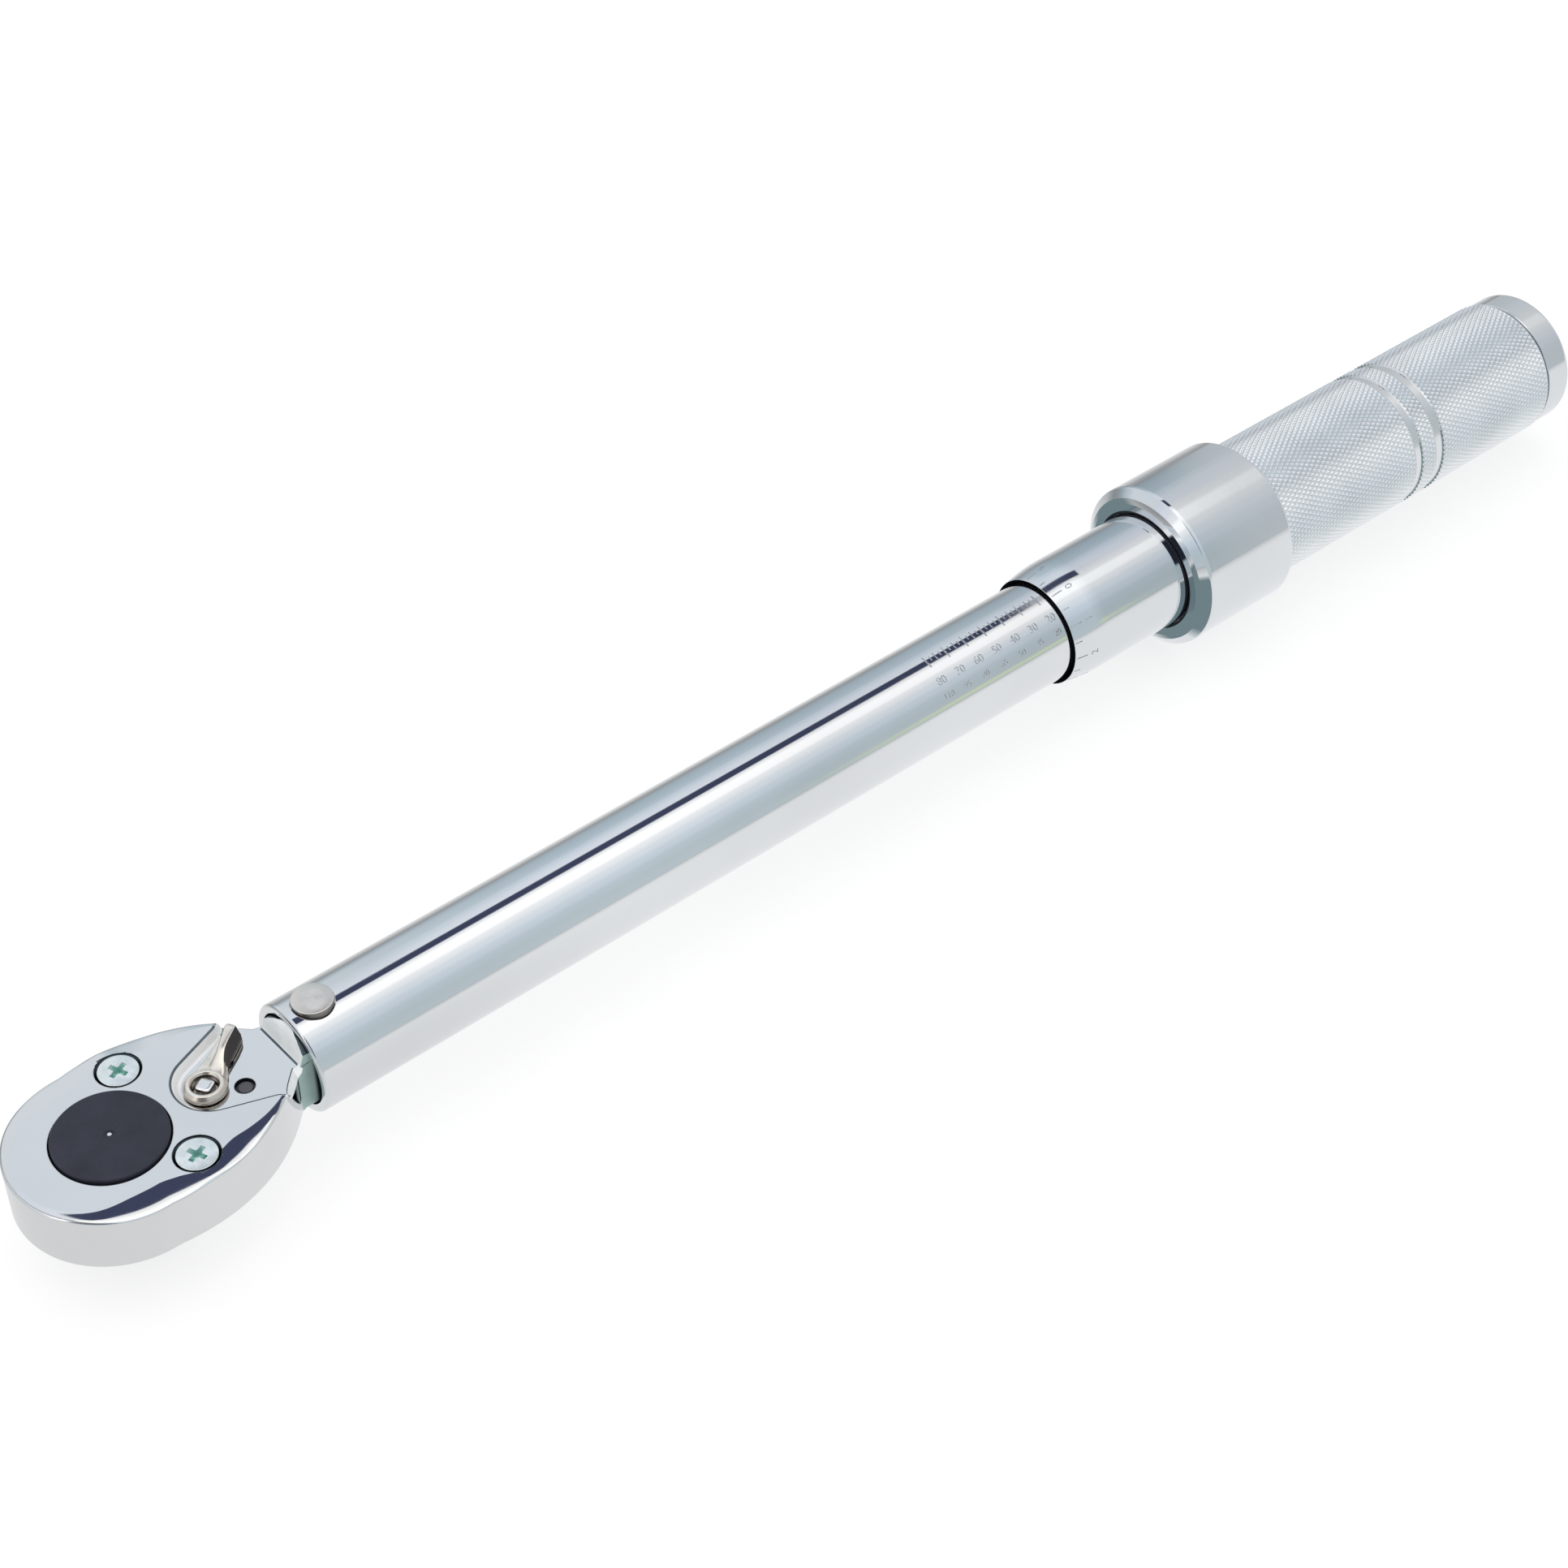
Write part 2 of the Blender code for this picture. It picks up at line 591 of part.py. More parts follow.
def build_drive_gear():
    outline = []
    pitch = 360 / TEETH
    for i in range(TEETH):
        gap = pitch * (i + 0.5)
        outline += [polar(GEAR_R, gap - 4.5), polar(GEAR_ROOT, gap - 1.0),
                    polar(GEAR_ROOT, gap + 1.0), polar(GEAR_R, gap + 4.5)]
    gear = flat("drive_gear", outline, GEAR_BOTTOM, GEAR_TOP)
    hub = [(0.0, 0.0), (HUB_R, 0.0), (HUB_R, HUB_TOP - 0.4), (HUB_R - 0.4, HUB_TOP), (0.9, HUB_TOP),
           (0.0, HUB_TOP - 0.5)]
    foot = [(0.0, SQUARE_TOP - 0.6), (7.2, SQUARE_TOP - 0.6), (7.6, -6.5), (JOURNAL_R, -6.2),
            (JOURNAL_R, -1.0), (0.0, -1.0)]
    square = box("drive_square", (-SQUARE / 2, -SQUARE / 2, SQUARE_END), (SQUARE / 2, SQUARE / 2, -5.0))
    bevel = square.modifiers.new("edges", "BEVEL")
    bevel.width = 0.7 * MM
    bevel.segments = 2
    join(gear, turned("gear_hub", hub, axis=(0, 0, 1)), turned("gear_journal", foot, axis=(0, 0, 1)), square)
    z = (SQUARE_TOP + SQUARE_END) / 2 - 1.0
    cut(gear, drilled("socket_ball_hole", 1.7, (0, 0.8, z), (0, -9, z)))
    finish(gear, "black_oxide", drive_axis)
    stands_out, radius = 0.6, 1.5
    centre = (0, -(SQUARE / 2 + stands_out - radius), z)
    finish(ball("socket_ball", radius, centre, 14, 8), "bearing_steel", ball_axis)
    spring = coil("socket_ball_spring", 1.1, 0.2, (0, 0.4, z), (0, -2.1, z), 5)
    finish(spring, "spring_steel", drive_axis)


# ---------------------------------------------------------------- trip

def build_trip():
    """Block between the tongue's flat end and the plunger's socket. It rocks when the head trips."""
    length, width, height = TRIP_BLOCK
    front = TONGUE_BACK + GAP
    block = box("trip_block", (front, -width / 2, -height / 2), (front + length, width / 2, height / 2))
    edges = block.modifiers.new("edges", "BEVEL")
    edges.width = 0.2 * MM
    edges.segments = 1
    socket_floor = front + length + GAP
    rocker = pivot("trip_block_axis", (front + length, width / 2, 0), plunger_axis)
    finish(block, "turned_steel", rocker)
    mouth = socket_floor - TRIP_SOCKET
    radius, spigot = TUBE_BORE - 0.2, 4.6
    profile = [(0.0, mouth), (radius - 0.5, mouth), (radius, mouth + 0.5), (radius, PLUNGER_BACK),
               (spigot, PLUNGER_BACK), (spigot, PLUNGER_BACK + 8), (0.0, PLUNGER_BACK + 8)]
    plunger = turned("plunger", profile, steps=32)
    half_y, half_z = width / 2 + 0.5, height / 2 + GAP
    cut(plunger, box("plunger_socket", (mouth - 4, -half_y, -half_z), (socket_floor, half_y, half_z)))
    finish(plunger, "turned_steel", plunger_axis)


def build_spring_seat():
    radius, spigot, back = TUBE_BORE - 0.2, 4.6, SEAT_FRONT + 6
    cup, depth = 3.3, 2.0
    profile = [(0.0, SEAT_FRONT - 6), (spigot, SEAT_FRONT - 6), (spigot, SEAT_FRONT), (radius, SEAT_FRONT),
               (radius, back), (cup, back), (cup, back - depth), (0.0, back - depth)]
    finish(turned("spring_seat", profile, steps=32), "turned_steel", seat_axis)
    finish(ball("thrust_ball", 3.0, (back - depth + GAP + 3.0, 0, 0), 16, 10), "bearing_steel", seat_axis)


# ---------------------------------------------------------------- handle

def build_adjusting_screw():
    front, shoulder, stub = SEAT_FRONT + 8.5, WEB_FRONT - GAP, 4.0
    cup, depth = 3.3, 2.2
    profile = [(0.0, front + depth), (cup, front + depth), (cup, front), (SCREW_R - 0.6, front),
               (SCREW_R, front + 0.6), (SCREW_R, shoulder), (stub, shoulder), (stub, WEB_BACK + 8.6),
               (0.0, WEB_BACK + 8.6)]
    finish(turned("adjusting_screw", profile, steps=SMALL_ROUND), "turned_steel", grip_axis)
    washer = turned("grip_washer", ring(8.0, 4.3, WEB_BACK + GAP, WEB_BACK + 1.5), steps=SMALL_ROUND)
    finish(washer, "zinc_plate", grip_axis)
    hexagon = [polar(7.4, 60 * i + 30) for i in range(6)]
    nut = flat("grip_nut", hexagon, -3.1, 3.1)
    nut.rotation_euler = (0, math.pi / 2, 0)
    nut.location = ((WEB_BACK + 1.8 + 3.1) * MM, 0, 0)
    cut(nut, drilled("grip_nut_hole", stub + 0.2, (WEB_BACK, 0, 0), (WEB_BACK + 12, 0, 0)))
    finish(nut, "zinc_plate", grip_axis)


def build_graduated_sleeve():
    nose, bevel, groove, half_groove = 11.95, 9.0, 12.3, 0.9
    profile = [(nose, SLEEVE_FRONT), (SLEEVE_R, SLEEVE_FRONT + bevel), (SLEEVE_R, STOP_X - half_groove),
               (groove, STOP_X - half_groove), (groove, STOP_X + half_groove),
               (SLEEVE_R, STOP_X + half_groove), (SLEEVE_R, SLEEVE_BACK),
               (SLEEVE_BORE, SLEEVE_BACK), (SLEEVE_BORE, SLEEVE_FRONT)]
    sleeve = turned("graduated_sleeve", profile)
    for side, word in ((1, "upper"), (-1, "lower")):
        start, end = (LOCK_X, 0, 9 * side), (LOCK_X, 0, 16 * side)
        hole = drilled(f"lock_ball_hole_{word}", LOCK_BALL_R + 0.2, start, end, 16)
        seat = drilled(f"set_screw_seat_{word}", 1.9, (GRIP_FRONT + 2.4, 12.2 * side, 0),
                       (GRIP_FRONT + 2.4, 18 * side, 0), 16)
        cut(sleeve, hole, seat)
    return finish(sleeve, "polished_chrome", grip_axis)


def build_grip():
    """The knurled grip. Its web takes the adjusting screw's end, and its mouth holds the sleeve."""
    groove = GRIP_R - 0.45
    profile = [(GRIP_R - 0.4, GRIP_FRONT), (GRIP_R, GRIP_FRONT + 0.4)]
    for start, end in GRIP_BANDS:
        profile += [(GRIP_R, start), (groove, start + 0.3), (groove, end - 0.3), (GRIP_R, end)]
    profile += [(GRIP_R, GRIP_BACK), (10.0, GRIP_BACK), (10.0, WEB_BACK), (4.3, WEB_BACK), (4.3, WEB_FRONT),
                (TUBE_R + GAP, WEB_FRONT), (TUBE_R + GAP, SLEEVE_BACK + 0.5),
                (SLEEVE_R + GAP, SLEEVE_BACK + 0.5), (SLEEVE_R + GAP, GRIP_FRONT)]
    grip = turned("grip", profile)
    for side, word in ((1, "left"), (-1, "right")):
        x = GRIP_FRONT + 2.4
        cut(grip, drilled(f"set_screw_hole_{word}", 1.8, (x, 12 * side, 0), (x, 18 * side, 0), 16))
        screw = turned(f"grip_set_screw_{word}", rod(1.6, 12.5, 15.3), (x, 0, 0), (0, side, 0), 16)
        finish(screw, "turned_steel", grip_axis)
    return finish(grip, "knurled_chrome", grip_axis)


def build_end_cap():
    front, edge = GRIP_BACK + GAP, 1.6
    profile = [(0.0, front - 2.4), (9.7, front - 2.4), (9.7, front), (CAP_R, front)]
    profile += [(CAP_R - edge + edge * math.cos(a), CAP_BACK - edge + edge * math.sin(a))
                for a in [math.radians(30 * i) for i in range(4)]]
    profile += [(0.0, CAP_BACK)]
    return finish(turned("end_cap", profile), "polished_chrome", grip_axis)


def build_lock_collar():
    """Collar over the sleeve. Pulled back, its ramp drives the lock balls into the tube's grooves."""
    bore, relief, stop = SLEEVE_R + 0.15, 14.45, 13.95
    skirt, skirt_start = 16.25, STOP_X + 2.3
    stop_back, stop_front, relief_back = STOP_X + 0.95, STOP_X - COLLAR_TRAVEL - 0.95, LOCK_X + 1.9
    profile = [(16.6, COLLAR_FRONT), (COLLAR_R, COLLAR_FRONT + 1.9), (COLLAR_R, COLLAR_BACK - 1.2),
               (COLLAR_R - 0.45, COLLAR_BACK), (skirt, COLLAR_BACK), (skirt, skirt_start),
               (bore, skirt_start), (bore, stop_back), (stop, stop_back), (stop, stop_front),
               (bore, stop_front), (bore, relief_back), (relief, relief_back), (relief, LOCK_X),
               (bore, LOCK_X - COLLAR_TRAVEL), (bore, COLLAR_FRONT)]
    finish(turned("lock_collar", profile), "polished_chrome", collar_axis)
    centre = 13.0
    split = [(STOP_X, *polar(centre, 12 + 336 * i / 28)) for i in range(29)]
    finish(wire("collar_stop_ring", split, 0.6, 1), "spring_steel", grip_axis)
    for side, word in ((1, "upper"), (-1, "lower")):
        at = (LOCK_X, 0, LOCK_BALL_FREE * side)
        slide = pivot(f"lock_ball_{word}_axis", at, grip_axis)
        finish(ball(f"lock_ball_{word}", LOCK_BALL_R, at, 12, 8), "bearing_steel", slide)


build_outer_tube()
build_pivot_pin()
build_adjusting_nut()
build_main_spring()
build_ratchet_head()
build_cover_plate()
build_cover_screw("cover_screw_left", 1)
build_cover_screw("cover_screw_right", -1)
build_reversing_lever()
build_lever_shaft()
build_lever_springs()
build_pawl()
build_drive_gear()
build_trip()
build_spring_seat()
build_adjusting_screw()
build_graduated_sleeve()
build_grip()
build_end_cap()
build_lock_collar()

# The whole wrench hangs from one empty, which sets the square's end at the origin.
wrench = pivot("wrench", (0, 0, 0))
for piece in list(PARTS.objects) + list(CUTTERS.objects):
    if piece.parent is None and piece is not wrench:
        hang(piece, wrench)
wrench.location.z = -SQUARE_END * MM
bpy.context.view_layer.update()
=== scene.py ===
"""Looks of the micrometer click torque wrench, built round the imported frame.

Shapes are worked out in millimetres from the point where the drive axis meets the tube's axis. AXIS is that
point's height in the frame. The CAD nodes' boxes give the places and outer sizes; inner sizes are plain numbers.
"""

import json
import math

import bmesh
import bpy
from mathutils import Matrix, Vector


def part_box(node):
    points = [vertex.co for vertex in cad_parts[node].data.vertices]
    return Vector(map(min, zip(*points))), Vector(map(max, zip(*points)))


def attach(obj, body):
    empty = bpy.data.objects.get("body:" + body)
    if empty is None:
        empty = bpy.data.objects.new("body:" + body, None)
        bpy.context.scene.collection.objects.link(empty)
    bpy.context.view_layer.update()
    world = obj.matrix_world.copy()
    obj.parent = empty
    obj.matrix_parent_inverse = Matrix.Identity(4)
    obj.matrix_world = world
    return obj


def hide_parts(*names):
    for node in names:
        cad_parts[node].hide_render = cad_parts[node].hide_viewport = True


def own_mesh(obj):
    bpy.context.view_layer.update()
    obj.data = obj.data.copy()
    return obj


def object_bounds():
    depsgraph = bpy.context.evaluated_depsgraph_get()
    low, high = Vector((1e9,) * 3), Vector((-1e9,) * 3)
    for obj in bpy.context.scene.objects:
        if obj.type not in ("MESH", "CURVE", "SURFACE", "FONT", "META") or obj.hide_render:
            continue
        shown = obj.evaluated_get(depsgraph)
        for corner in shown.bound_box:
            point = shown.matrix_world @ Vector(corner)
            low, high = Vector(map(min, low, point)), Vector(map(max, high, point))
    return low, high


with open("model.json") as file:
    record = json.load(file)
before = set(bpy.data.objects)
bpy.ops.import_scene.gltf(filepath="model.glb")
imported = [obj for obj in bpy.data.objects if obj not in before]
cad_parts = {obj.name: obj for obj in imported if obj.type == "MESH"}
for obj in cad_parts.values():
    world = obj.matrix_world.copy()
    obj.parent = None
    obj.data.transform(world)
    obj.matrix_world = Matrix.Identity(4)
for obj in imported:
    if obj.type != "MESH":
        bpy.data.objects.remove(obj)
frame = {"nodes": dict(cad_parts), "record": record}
cad_low, cad_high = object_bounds()

MM = 0.001
TAU = 2 * math.pi
UP = (0, 0, 1)


# ---------------- sizes read from the frame

def span(node, axis):
    """A CAD node's lowest and highest place along X, Y or Z (0, 1 or 2), in millimetres."""
    low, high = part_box(node)
    return low[axis] / MM, high[axis] / MM


def middle(node, axis=0):
    """Half way along a CAD node."""
    return sum(span(node, axis)) / 2


def heights(node):
    """A CAD node's lowest and highest place above the tube's axis."""
    low, high = span(node, 2)
    return low - AXIS, high - AXIS


def radius_of(node):
    """Half a CAD node's height."""
    low, high = span(node, 2)
    return (high - low) / 2


AXIS = middle("outer_tube", 2)
TUBE_R, COLLAR_R, GRIP_R, CAP_R = map(radius_of, ("outer_tube", "lock_collar", "grip", "end_cap"))
TUBE_FRONT, TUBE_BACK = span("outer_tube", 0)
SLEEVE_FRONT, SLEEVE_BACK = span("graduated_sleeve", 0)
COLLAR_FRONT, COLLAR_BACK = span("lock_collar", 0)
GRIP_FRONT, GRIP_BACK = span("grip", 0)
SPRING_FRONT, SPRING_BACK = span("main_spring", 0)
CAP_BACK = span("end_cap", 0)[1]
HEAD_NOSE = -span("ratchet_head", 0)[0]
HEAD_HALF = -heights("cover_plate")[0]
PIN_TAIL, PIN_TOP = heights("pivot_pin")
SQUARE_END, HUB_TOP = heights("drive_gear")
SCREW_TOP = heights("cover_screw_left")[1]
SCREW_X, SCREW_Y = middle("cover_screw_left"), middle("cover_screw_left", 1)
PIVOT_X, PAWL_X = middle("pivot_pin"), middle("lever_shaft")
STOP_X, BALL_X = middle("collar_stop_ring"), middle("lock_ball_upper")
SQUARE = 2 * frame["record"]["mounts"][1]["pos_m"][0] / MM

GAP = 0.3
TUBE_BORE = 9.3
SLEEVE_R = 13
NECK_X, NECK_HALF = 34, 7.2
TANG_HALF = 6.2
FLOOR_Z = 4.3
HUB_R, HUB_BORE, GEAR_R = 10.55, 10.9, 12
LEVER_ANGLE = 31.4
GRIP_BANDS = ((326, 328), (332.7, 335))


# ---------------- outlines

def place(point):
    """A point in millimetres about the drive and tube axes, as a point of the frame."""
    return Vector((point[0] * MM, point[1] * MM, (point[2] + AXIS) * MM))


def polar(radius, degrees, centre=(0, 0)):
    angle = math.radians(degrees)
    return (centre[0] + radius * math.cos(angle), centre[1] + radius * math.sin(angle))


def arc(radius, start, end, count, centre=(0, 0)):
    return [polar(radius, start + (end - start) * i / count, centre) for i in range(count + 1)]


def mirrored(points):
    return [(x, -y) for x, y in reversed(points)]


def rectangle(low, high):
    return [low, (high[0], low[1]), high, (low[0], high[1])]


def spun(points, degrees, at=(0, 0)):
    """Flat points turned about the origin, and then moved."""
    turned = [Matrix.Rotation(math.radians(degrees), 2) @ Vector(p) for p in points]
    return [(p.x + at[0], p.y + at[1]) for p in turned]


def eased(points, steps=4, loop=True):
    """A profile whose corners, given as (a, b, radius), are rounded by arcs."""
    out = []
    count = len(points)
    for i, (a, b, radius) in enumerate(points):
        corner = Vector((a, b))
        if radius <= 0 or (not loop and i in (0, count - 1)):
            out.append((a, b))
            continue
        before = Vector(points[i - 1][:2]) - corner
        after = Vector(points[(i + 1) % count][:2]) - corner
        angle = before.angle(after)
        reach = min(radius / math.tan(angle / 2), 0.49 * before.length, 0.49 * after.length)
        real = reach * math.tan(angle / 2)
        before, after = before.normalized(), after.normalized()
        centre = corner + (before + after).normalized() * (real / math.sin(angle / 2))
        first, last = corner + before * reach - centre, corner + after * reach - centre
        start = math.atan2(first.y, first.x)
        turn = (math.atan2(last.y, last.x) - start + math.pi) % TAU - math.pi
        out += [(centre.x + real * math.cos(start + turn * k / steps),
                 centre.y + real * math.sin(start + turn * k / steps)) for k in range(steps + 1)]
    return out


def inward(outline, insets):
    """An anticlockwise or clockwise outline drawn inwards, by one inset or one for each point."""
    count = len(outline)
    area = sum(outline[i - 1][0] * outline[i][1] - outline[i][0] * outline[i - 1][1] for i in range(count))
    sign = 1 if area > 0 else -1
    if isinstance(insets, (int, float)):
        insets = [insets] * count
    out = []
    for i, inset in enumerate(insets):
        before, here, after = [Vector(outline[k % count]) for k in (i - 1, i, i + 1)]
        one, two = (here - before).normalized(), (after - here).normalized()
        normal = Vector((-one.y - two.y, one.x + two.x)).normalized() * sign
        spread = max(abs(Vector((-one.y, one.x)).dot(normal)), 0.4)
        out.append((outline[i][0] + normal.x * inset / spread, outline[i][1] + normal.y * inset / spread))
    return out


def between(x, table):
    """Smooth reading of a short table of (x, value), by a curve through its points."""
    if x <= table[0][0] or x >= table[-1][0]:
        return table[0][1] if x <= table[0][0] else table[-1][1]
    slopes = []
    for i in range(len(table)):
        before, after = table[max(i - 1, 0)], table[min(i + 1, len(table) - 1)]
        slopes.append((after[1] - before[1]) / (after[0] - before[0]))
    i = max(k for k in range(len(table) - 1) if table[k][0] <= x)
    (x0, v0), (x1, v1) = table[i], table[i + 1]
    step = x1 - x0
    t = (x - x0) / step
    return (v0 * (1 + 2 * t) * (1 - t) ** 2 + slopes[i] * step * t * (1 - t) ** 2
            + v1 * t * t * (3 - 2 * t) + slopes[i + 1] * step * t * t * (t - 1))


# ---------------- mesh helpers

def added(name, data):
    obj = bpy.data.objects.new(name, data)
    bpy.context.scene.collection.objects.link(obj)
    return obj


def evaluated(obj):
    """A new mesh of an object as its modifiers leave it."""
    bpy.context.view_layer.update()
    return bpy.data.meshes.new_from_object(obj.evaluated_get(bpy.context.evaluated_depsgraph_get()))


def weld(mesh, distance, triangles=False):
    """Merges the doubled points of a closed mesh and turns its faces outwards."""
    work = bmesh.new()
    work.from_mesh(mesh)
    bmesh.ops.remove_doubles(work, verts=work.verts, dist=distance)
    bmesh.ops.recalc_face_normals(work, faces=work.faces)
    if triangles:
        bmesh.ops.triangulate(work, faces=work.faces)
    work.to_mesh(mesh)
    work.free()


def mesh_piece(name, points, faces, merge=0.0005):
    """A closed mesh through points in millimetres, with its faces turned outwards."""
    mesh = bpy.data.meshes.new(name)
    mesh.from_pydata([place(p) for p in points], [], faces)
    weld(mesh, merge * MM)
    return added(name, mesh)


def smooth(obj, sharp=32):
    """Smooth shading with real corners kept, and flats that stay flat beside their fillets."""
    obj.data.shade_smooth()
    obj.data.set_sharp_from_angle(angle=math.radians(sharp))
    even = obj.modifiers.new("even", "WEIGHTED_NORMAL")
    even.keep_sharp = True
    even.weight = 90
    return obj


def lathe(name, profile, sides=128, at=(0, 0, 0), axis=(1, 0, 0), loop=True, sharp=32):
    """A turned piece from a profile of (radius, distance along the axis)."""
    along = Vector(axis).normalized()
    side = Vector(UP) if abs(along.x) > 0.5 else along.orthogonal().normalized()
    other = along.cross(side)
    points, rings, faces = [], [], []
    for radius, distance in profile:
        spokes = sides if radius > 1e-6 else 1
        rings.append(range(len(points), len(points) + spokes))
        for k in range(spokes):
            out = side * math.cos(TAU * k / sides) + other * math.sin(TAU * k / sides)
            points.append(Vector(at) + along * distance + out * radius)
    for lower, upper in zip(rings, rings[1:] + (rings[:1] if loop else [])):
        for k in range(sides):
            n = (k + 1) % sides
            corners = [ring[i % len(ring)] for ring, i in ((lower, n), (lower, k), (upper, k), (upper, n))]
            if len(set(corners)) > 2:
                faces.append(tuple(dict.fromkeys(corners)))
    return smooth(mesh_piece(name, points, faces), sharp)


def upright(name, profile, sides, at=(0, 0)):
    """A turned piece that stands upright, solid to its own axis."""
    return lathe(name, profile, sides, (*at, 0), UP, False)


def bar(name, radius, low, high, at, sides=64):
    """An upright round bar used as a cutter."""
    return upright(name, [(0, low), (radius, low), (radius, high), (0, high)], sides, at)


def stack(name, rings):
    """A closed loft through outlines of equal length, each given as points in space."""
    points = [p for ring in rings for p in ring]
    count = len(rings[0])
    faces = [tuple(range(count)), tuple(range(len(points) - count, len(points)))]
    for low in range(0, len(points) - count, count):
        for k in range(count):
            n = (k + 1) % count
            faces.append((low + k, low + n, low + count + n, low + count + k))
    return smooth(mesh_piece(name, points, faces))


def slab(name, outline, low, high, edge=0, steps=3):
    """A flat piece with rounded rims."""
    levels = [(0, low), (0, high)]
    if edge > 0:
        turn = [math.pi / 2 * k / steps for k in range(steps + 1)]
        levels = [(edge * (1 - math.sin(a)), low + edge * (1 - math.cos(a))) for a in turn]
        levels += [(edge * (1 - math.cos(a)), high - edge * (1 - math.sin(a))) for a in turn]
    return stack(name, [[(x, y, z) for x, y in inward(outline, inset)] for inset, z in levels])


def boolean(target, *tools, operation="DIFFERENCE"):
    """Cuts or joins tools, one after another, and keeps only the result."""
    target.modifiers.clear()
    for tool in tools:
        tool.modifiers.clear()
        step = target.modifiers.new("step", "BOOLEAN")
        step.operation = operation
        step.solver = "MANIFOLD"
        step.object = tool
    spent = [target.data] + [tool.data for tool in tools]
    target.data = evaluated(target)
    target.modifiers.clear()
    for tool in tools:
        bpy.data.objects.remove(tool, do_unlink=True)
    for mesh in spent:
        bpy.data.meshes.remove(mesh)


def tidy(obj, sharp=32):
    """Merges hair-thin leftovers of a cut and shades the result."""
    work = bmesh.new()
    work.from_mesh(obj.data)
    bmesh.ops.remove_doubles(work, verts=work.verts, dist=0.002 * MM)
    bmesh.ops.dissolve_degenerate(work, edges=work.edges, dist=0.001 * MM)
    work.to_mesh(obj.data)
    work.free()
    smooth(obj, sharp)


def paint(obj, looks, choose):
    """Gives each face one of the looks, picked by its middle (millimetres about the axes) and its normal."""
    obj.data.materials.clear()
    for look in looks:
        obj.data.materials.append(look)
    for polygon in obj.data.polygons:
        at = polygon.center / MM
        at.z -= AXIS
        polygon.material_index = choose(at, polygon.normal)


def line_bore(obj, radius):
    """Gives the faces nearer the tube's axis than a radius the dark look of an unplated bore."""
    obj.data.materials.append(BORE_AND_GAP_SHADE_LOOK)
    for polygon in obj.data.polygons:
        at = polygon.center / MM
        if math.hypot(at.y, at.z - AXIS) < radius:
            polygon.material_index = len(obj.data.materials) - 1


def ride(obj, body, look, slot, *nodes):
    """Gives a piece its material, its body and the CAD nodes it stands for; the finish's slot is not used."""
    if look is not None:
        obj.data.materials.clear()
        obj.data.materials.append(look)
    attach(obj, body)
    if nodes:
        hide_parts(*nodes)


# ---------------- node trees

class Nodes:
    """A node tree that is built up one node at a time."""

    def __init__(self, tree):
        self.tree = tree

    def feed(self, socket, value):
        """Gives a socket another node's output, a colour or a number."""
        if isinstance(value, bpy.types.NodeSocket):
            self.tree.links.new(value, socket)
        elif socket.type == "RGBA":
            socket.default_value = (*value, 1)
        else:
            socket.default_value = value

    def node(self, kind, inputs=None, output=0, **settings):
        """One output of a new node, whose inputs are given by their names or numbers."""
        made = self.tree.nodes.new("ShaderNode" + kind)
        for key, value in settings.items():
            setattr(made, key, value)
        for key, value in (inputs or {}).items():
            self.feed(made.inputs[key], value)
        return made.outputs[output]

    def split(self, vector):
        return self.node("SeparateXYZ", {0: vector}).node.outputs

    def span(self, value, low, high, to_low=0, to_high=1, kind="LINEAR"):
        inputs = {0: value, 1: low, 2: high, 3: to_low, 4: to_high}
        return self.node("MapRange", inputs, interpolation_type=kind)

    def step(self, value, low, high, to_low=0, to_high=1):
        return self.span(value, low, high, to_low, to_high, "SMOOTHSTEP")

    def math(self, operation, *values):
        return self.node("Math", dict(enumerate(values)), operation=operation)

    def product(self, first, *others):
        for other in others:
            first = self.math("MULTIPLY", first, other)
        return first

    def mix(self, factor, one, two):
        return self.node("Mix", {0: factor, 6: one, 7: two}, 2, data_type="RGBA")

    def blend(self, value, low, high, one, two, most=1):
        """From one colour to another as a value rises."""
        return self.mix(self.span(value, low, high, 0, most), one, two)

    def scaled(self, colour, factor):
        return self.node("VectorMath", {0: colour, "Scale": factor}, operation="SCALE")

    def dot(self, one, two):
        return self.node("VectorMath", {0: one, 1: two}, "Value", operation="DOT_PRODUCT")

    def ramp(self, value, stops, kind="LINEAR"):
        """A colour read off a list of (place from 0 to 1, colour)."""
        output = self.node("ValToRGB", {0: value})
        scale = output.node.color_ramp
        scale.interpolation = kind
        while len(scale.elements) < len(stops):
            scale.elements.new(0.5)
        for element, (position, colour) in zip(scale.elements, stops):
            element.position = position
            element.color = (*colour, 1)
        return output


